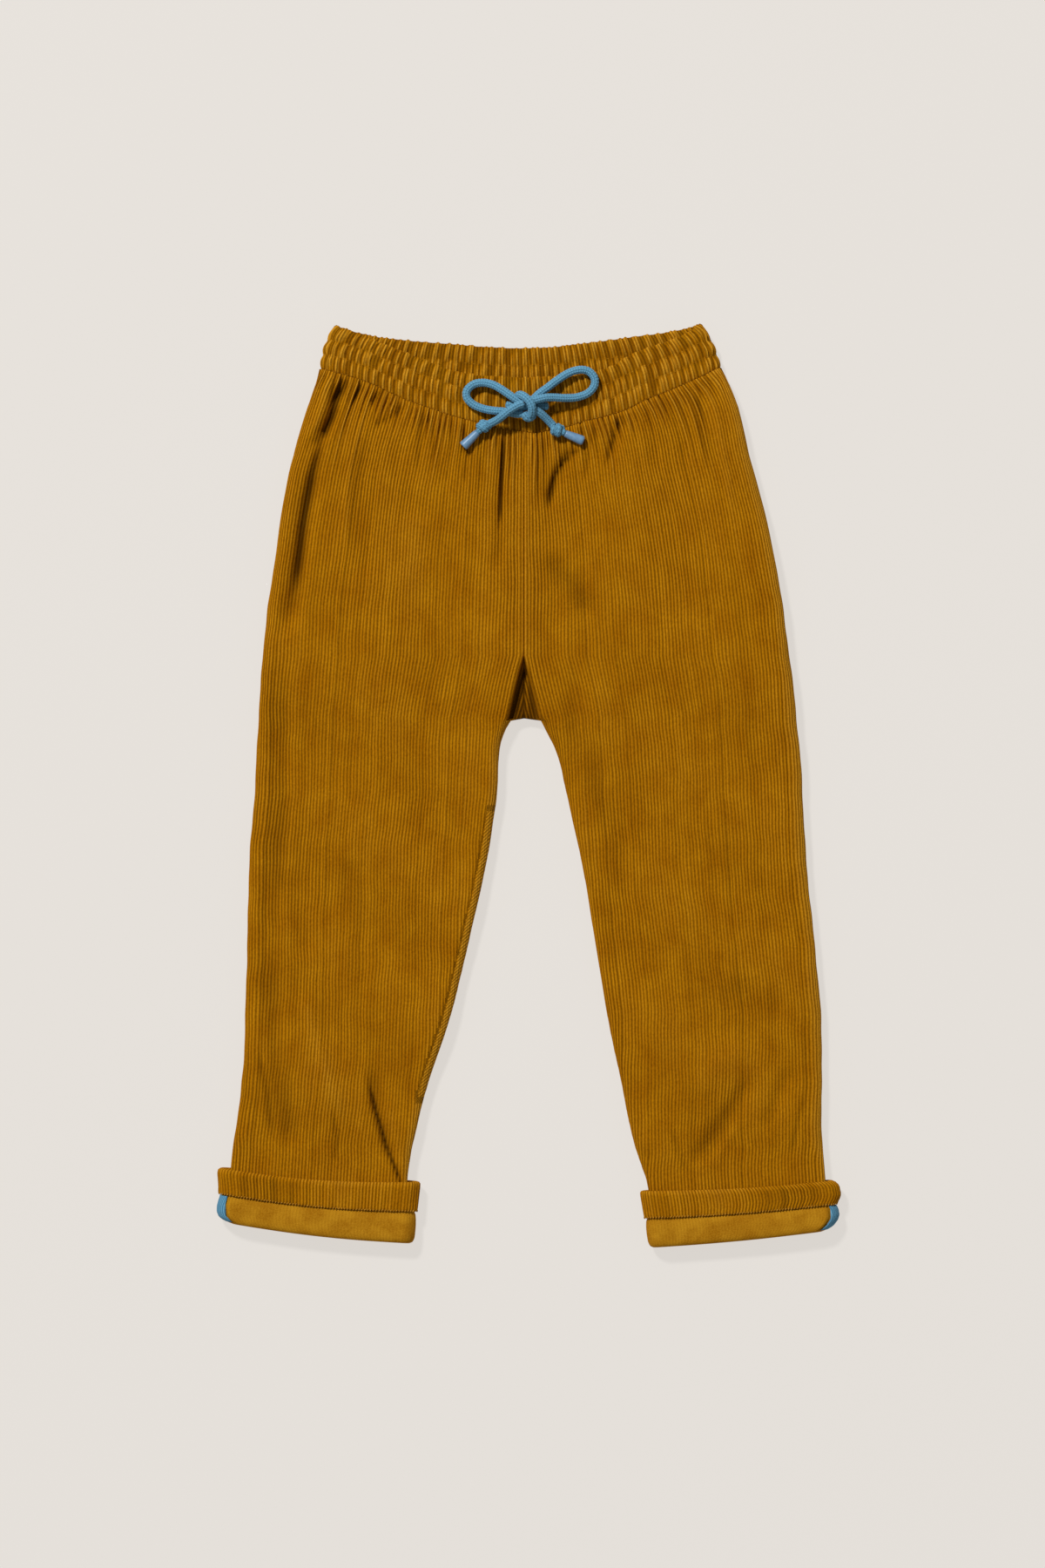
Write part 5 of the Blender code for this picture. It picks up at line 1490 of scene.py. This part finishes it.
# %% [markdown]
# ## Sewing
# A line of stitches repeats one small shape along a path, which is what Geometry Nodes do best. The
# tree resamples a line, puts a short rounded thread at each point, turned along the line and tilted,
# and makes the copies real. The waistband has three such lines on each half, and an overlock row
# holds down the raw edge on each cuff.

# %% A tree for stitches
STITCH_INPUTS = {"Spacing": 3.0 * MM, "Length": 2.2 * MM, "Thickness": 0.45 * MM, "Tilt": 0.0}


def stitch_tree(name="stitches_along_a_line"):
    """The node tree: a line in, rows of real stitches out."""
    tree = bpy.data.node_groups.new(name, "GeometryNodeTree")
    tree.interface.new_socket("Line", in_out="INPUT", socket_type="NodeSocketGeometry")
    for label, value in STITCH_INPUTS.items():
        tree.interface.new_socket(label, in_out="INPUT", socket_type="NodeSocketFloat").default_value = value
    tree.interface.new_socket("Finish", in_out="INPUT", socket_type="NodeSocketMaterial")
    tree.interface.new_socket("Stitches", in_out="OUTPUT", socket_type="NodeSocketGeometry")
    sizes = add_node(tree, "NodeGroupInput").outputs
    line = add_node(tree, "GeometryNodeMeshToCurve", links=[(sizes["Line"], "Mesh")]).outputs[0]
    spaced = add_node(tree, "GeometryNodeResampleCurve", {"mode": "LENGTH"},
                      [(line, "Curve"), (sizes["Spacing"], "Length")]).outputs[0]
    size = add_node(tree, "ShaderNodeCombineXYZ", links=[
        (sizes["Length"], "X"), (sizes["Thickness"], "Y"), (sizes["Thickness"], "Z")]).outputs[0]
    ball = add_node(tree, "GeometryNodeMeshUVSphere", Segments=6, Rings=5, Radius=0.5).outputs[0]
    thread = add_node(tree, "GeometryNodeTransform", links=[(ball, "Geometry"), (size, "Scale")]).outputs[0]
    out = add_node(tree, "GeometryNodeInputNamedAttribute", {"data_type": "FLOAT_VECTOR"},
                   Name="out").outputs[0]
    upright = add_node(tree, "FunctionNodeAlignRotationToVector", {"axis": "Z"}, [(out, "Vector")]).outputs[0]
    tangent = add_node(tree, "GeometryNodeInputTangent").outputs[0]
    ahead = add_node(tree, "FunctionNodeAlignRotationToVector", {"axis": "X", "pivot_axis": "Z"},
                     [(upright, "Rotation"), (tangent, "Vector")]).outputs[0]
    angle = add_node(tree, "ShaderNodeCombineXYZ", links=[(sizes["Tilt"], "Z")]).outputs[0]
    tilt = add_node(tree, "FunctionNodeEulerToRotation", links=[(angle, "Euler")]).outputs[0]
    turned = add_node(tree, "FunctionNodeRotateRotation", {"rotation_space": "LOCAL"},
                      [(ahead, "Rotation"), (tilt, "Rotate By")]).outputs[0]
    uneven = add_node(tree, "FunctionNodeRandomValue", {"data_type": "FLOAT_VECTOR"},
                      Min=(0.85, 0.85, 0.85), Max=(1.12, 1.1, 1.1), Seed=5).outputs[0]
    copies = add_node(tree, "GeometryNodeInstanceOnPoints", links=[
        (spaced, "Points"), (thread, "Instance"), (turned, "Rotation"), (uneven, "Scale")]).outputs[0]
    real = add_node(tree, "GeometryNodeRealizeInstances", links=[(copies, "Geometry")]).outputs[0]
    painted = add_node(tree, "GeometryNodeSetMaterial",
                       links=[(real, "Geometry"), (sizes["Finish"], "Material")])
    add_node(tree, "NodeGroupOutput", links=[(painted.outputs[0], "Stitches")])
    return tree


def sew(name, lines, outs, finish, **sizes):
    """Stitches along lines of points in mm, with the direction that faces out at each point."""
    mesh = bpy.data.meshes.new(name)
    points = np.vstack(lines) * MM
    edges = [(a, a + 1) for row in number_rows(lines) for a in row[:-1]]
    mesh.from_pydata(points.tolist(), edges, [])
    mesh.attributes.new("out", "FLOAT_VECTOR", "POINT").data.foreach_set(
        "vector", np.vstack(outs).astype(np.float32).ravel())
    guide = bpy.data.objects.new(name + "_line", mesh)
    bpy.context.scene.collection.objects.link(guide)
    modifier = guide.modifiers.new("Stitches", "NODES")
    modifier.node_group = STITCHES
    sockets = {item.name: item.identifier for item in STITCHES.interface.items_tree if item.in_out == "INPUT"}
    for label, value in {**STITCH_INPUTS, **sizes, "Finish": finish}.items():
        modifier[sockets[label]] = value
    depsgraph = bpy.context.evaluated_depsgraph_get()
    made = bpy.data.meshes.new_from_object(guide.evaluated_get(depsgraph), depsgraph=depsgraph)
    bpy.data.objects.remove(guide)
    made.name = name
    made.shade_smooth()
    piece = bpy.data.objects.new(name, made)
    bpy.context.scene.collection.objects.link(piece)
    return piece


STITCHES = stitch_tree()
print("stitch tree:", len(STITCHES.nodes), "nodes")

# %% Stitches of the waistband
STITCH_SINK = 0.12       # mm that the thread is pulled into the cloth
STITCH_LINES = (1 / 3, 2 / 3, 0.985)     # down the band


def band_line(top, bottom, high, front, down):
    """A line of stitching along the band's upper face, lying in the groove between two channels."""
    way = 1 if front else -1
    share = np.linspace(0.03, 0.97, 500)
    x, z, out_x, out_z = band_base(*band_ends(down), SIDE_Z - way * LAP / 2, high, share)
    y = between(curve(top, x), curve(bottom, x), down)
    lift = swell(down) + gather_wave(share, down) * sewn_down(down) - STITCH_SINK
    out = lift if front else -CASING - lift
    points = np.stack((x + out_x * out, y, z + out_z * out), axis=-1)
    return points, np.stack((out_x * way, np.zeros_like(x), out_z * way), axis=-1)


lines, outs = [], []
for word, top, bottom, high in BAND_HALVES:
    for down in STITCH_LINES:
        points, out = band_line(top, bottom, high, word == "front", down)
        lines.append(points)
        outs.append(out)
band_stitches = sew("thread_waistband", lines, outs, THREAD, Spacing=2.6 * MM, Length=2.1 * MM,
                    Thickness=0.42 * MM)
stand_for(band_stitches, None)


# %% Overlock of the cuffs
def cuff_line(cuff, down, depth):
    """A closed line round a cuff, at a depth below its face, with the way out at each point."""
    points, outs = [], []
    places = cuff_round(cuff, 260)
    for place in places + places[:1]:
        x, z = cuff_point(cuff, place, down, depth)
        inner_x, inner_z = cuff_point(cuff, place, down, depth + 1)
        points.append((x, float(cuff_y(cuff, x, z, down)), z))
        outs.append((x - inner_x, 0, z - inner_z))
    return np.array(points), np.array(outs)


for cuff in CUFFS:
    points, out = cuff_line(cuff, HEM_DOWN - 0.01, 0.25)
    overlock = sew("thread_overlock_" + cuff.side, [points], [out], PALE_THREAD, Spacing=1.65 * MM,
                   Length=1.7 * MM, Thickness=0.6 * MM, Tilt=1.05)
    stand_for(overlock, None)

# %% [markdown]
# ## Floor and light
# The picture's ground is an even pale grey. A floor that glows a little as well as catching light keeps
# its shadows as faint as they are there. One soft lamp from the upper left draws the folds, and the
# world fills in the rest.

# %% Floor, lamp and world
GROUND = "#e8e3dd"
GLOW = 0.83              # how much of the ground's brightness is its own
FLOOR_HALF = 4.0
FLOOR_Z = -0.4 * MM      # just under the thread on the underside
KEY_PLACE, KEY_SIZE, KEY_POWER = (-2.3, 3.5, 5.3), 0.9, 422
SKY, SKY_STRENGTH = "#e8e6e3", 0.38


def pale_floor():
    """Board painted pale and matt."""
    mesh = bpy.data.meshes.new("floor")
    corners = [(x * FLOOR_HALF, y * FLOOR_HALF, FLOOR_Z) for x, y in ((-1, -1), (1, -1), (1, 1), (-1, 1))]
    mesh.from_pydata(corners, [], [(0, 1, 2, 3)])
    floor = bpy.data.objects.new("floor", mesh)
    bpy.context.scene.collection.objects.link(floor)
    material, _, shader = start_material("painted_board")
    dim = [(0.97 - GLOW) * v for v in colour(GROUND)[:3]]
    shader.inputs["Base Color"].default_value = (*dim, 1)
    shader.inputs["Roughness"].default_value = 0.9
    shader.inputs["Specular IOR Level"].default_value = 0.1
    shader.inputs["Emission Color"].default_value = colour(GROUND)
    shader.inputs["Emission Strength"].default_value = GLOW
    mesh.materials.append(material)
    return floor


def soft_lamp(name, place, size, power):
    """A round lamp aimed at the origin."""
    light = bpy.data.lights.new(name, "AREA")
    light.shape = "DISK"
    light.size = size
    light.energy = power
    lamp = bpy.data.objects.new(name, light)
    lamp.location = place
    lamp.rotation_euler = (-Vector(place)).to_track_quat("-Z", "Y").to_euler()
    bpy.context.scene.collection.objects.link(lamp)
    return lamp


pale_floor()
soft_lamp("key_lamp", KEY_PLACE, KEY_SIZE, KEY_POWER)
world = bpy.data.worlds.new("studio")
world.use_nodes = True
sky = world.node_tree.nodes["Background"]
sky.inputs["Color"].default_value = colour(SKY)
sky.inputs["Strength"].default_value = SKY_STRENGTH
bpy.context.scene.world = world
print("floor, one lamp and the world")
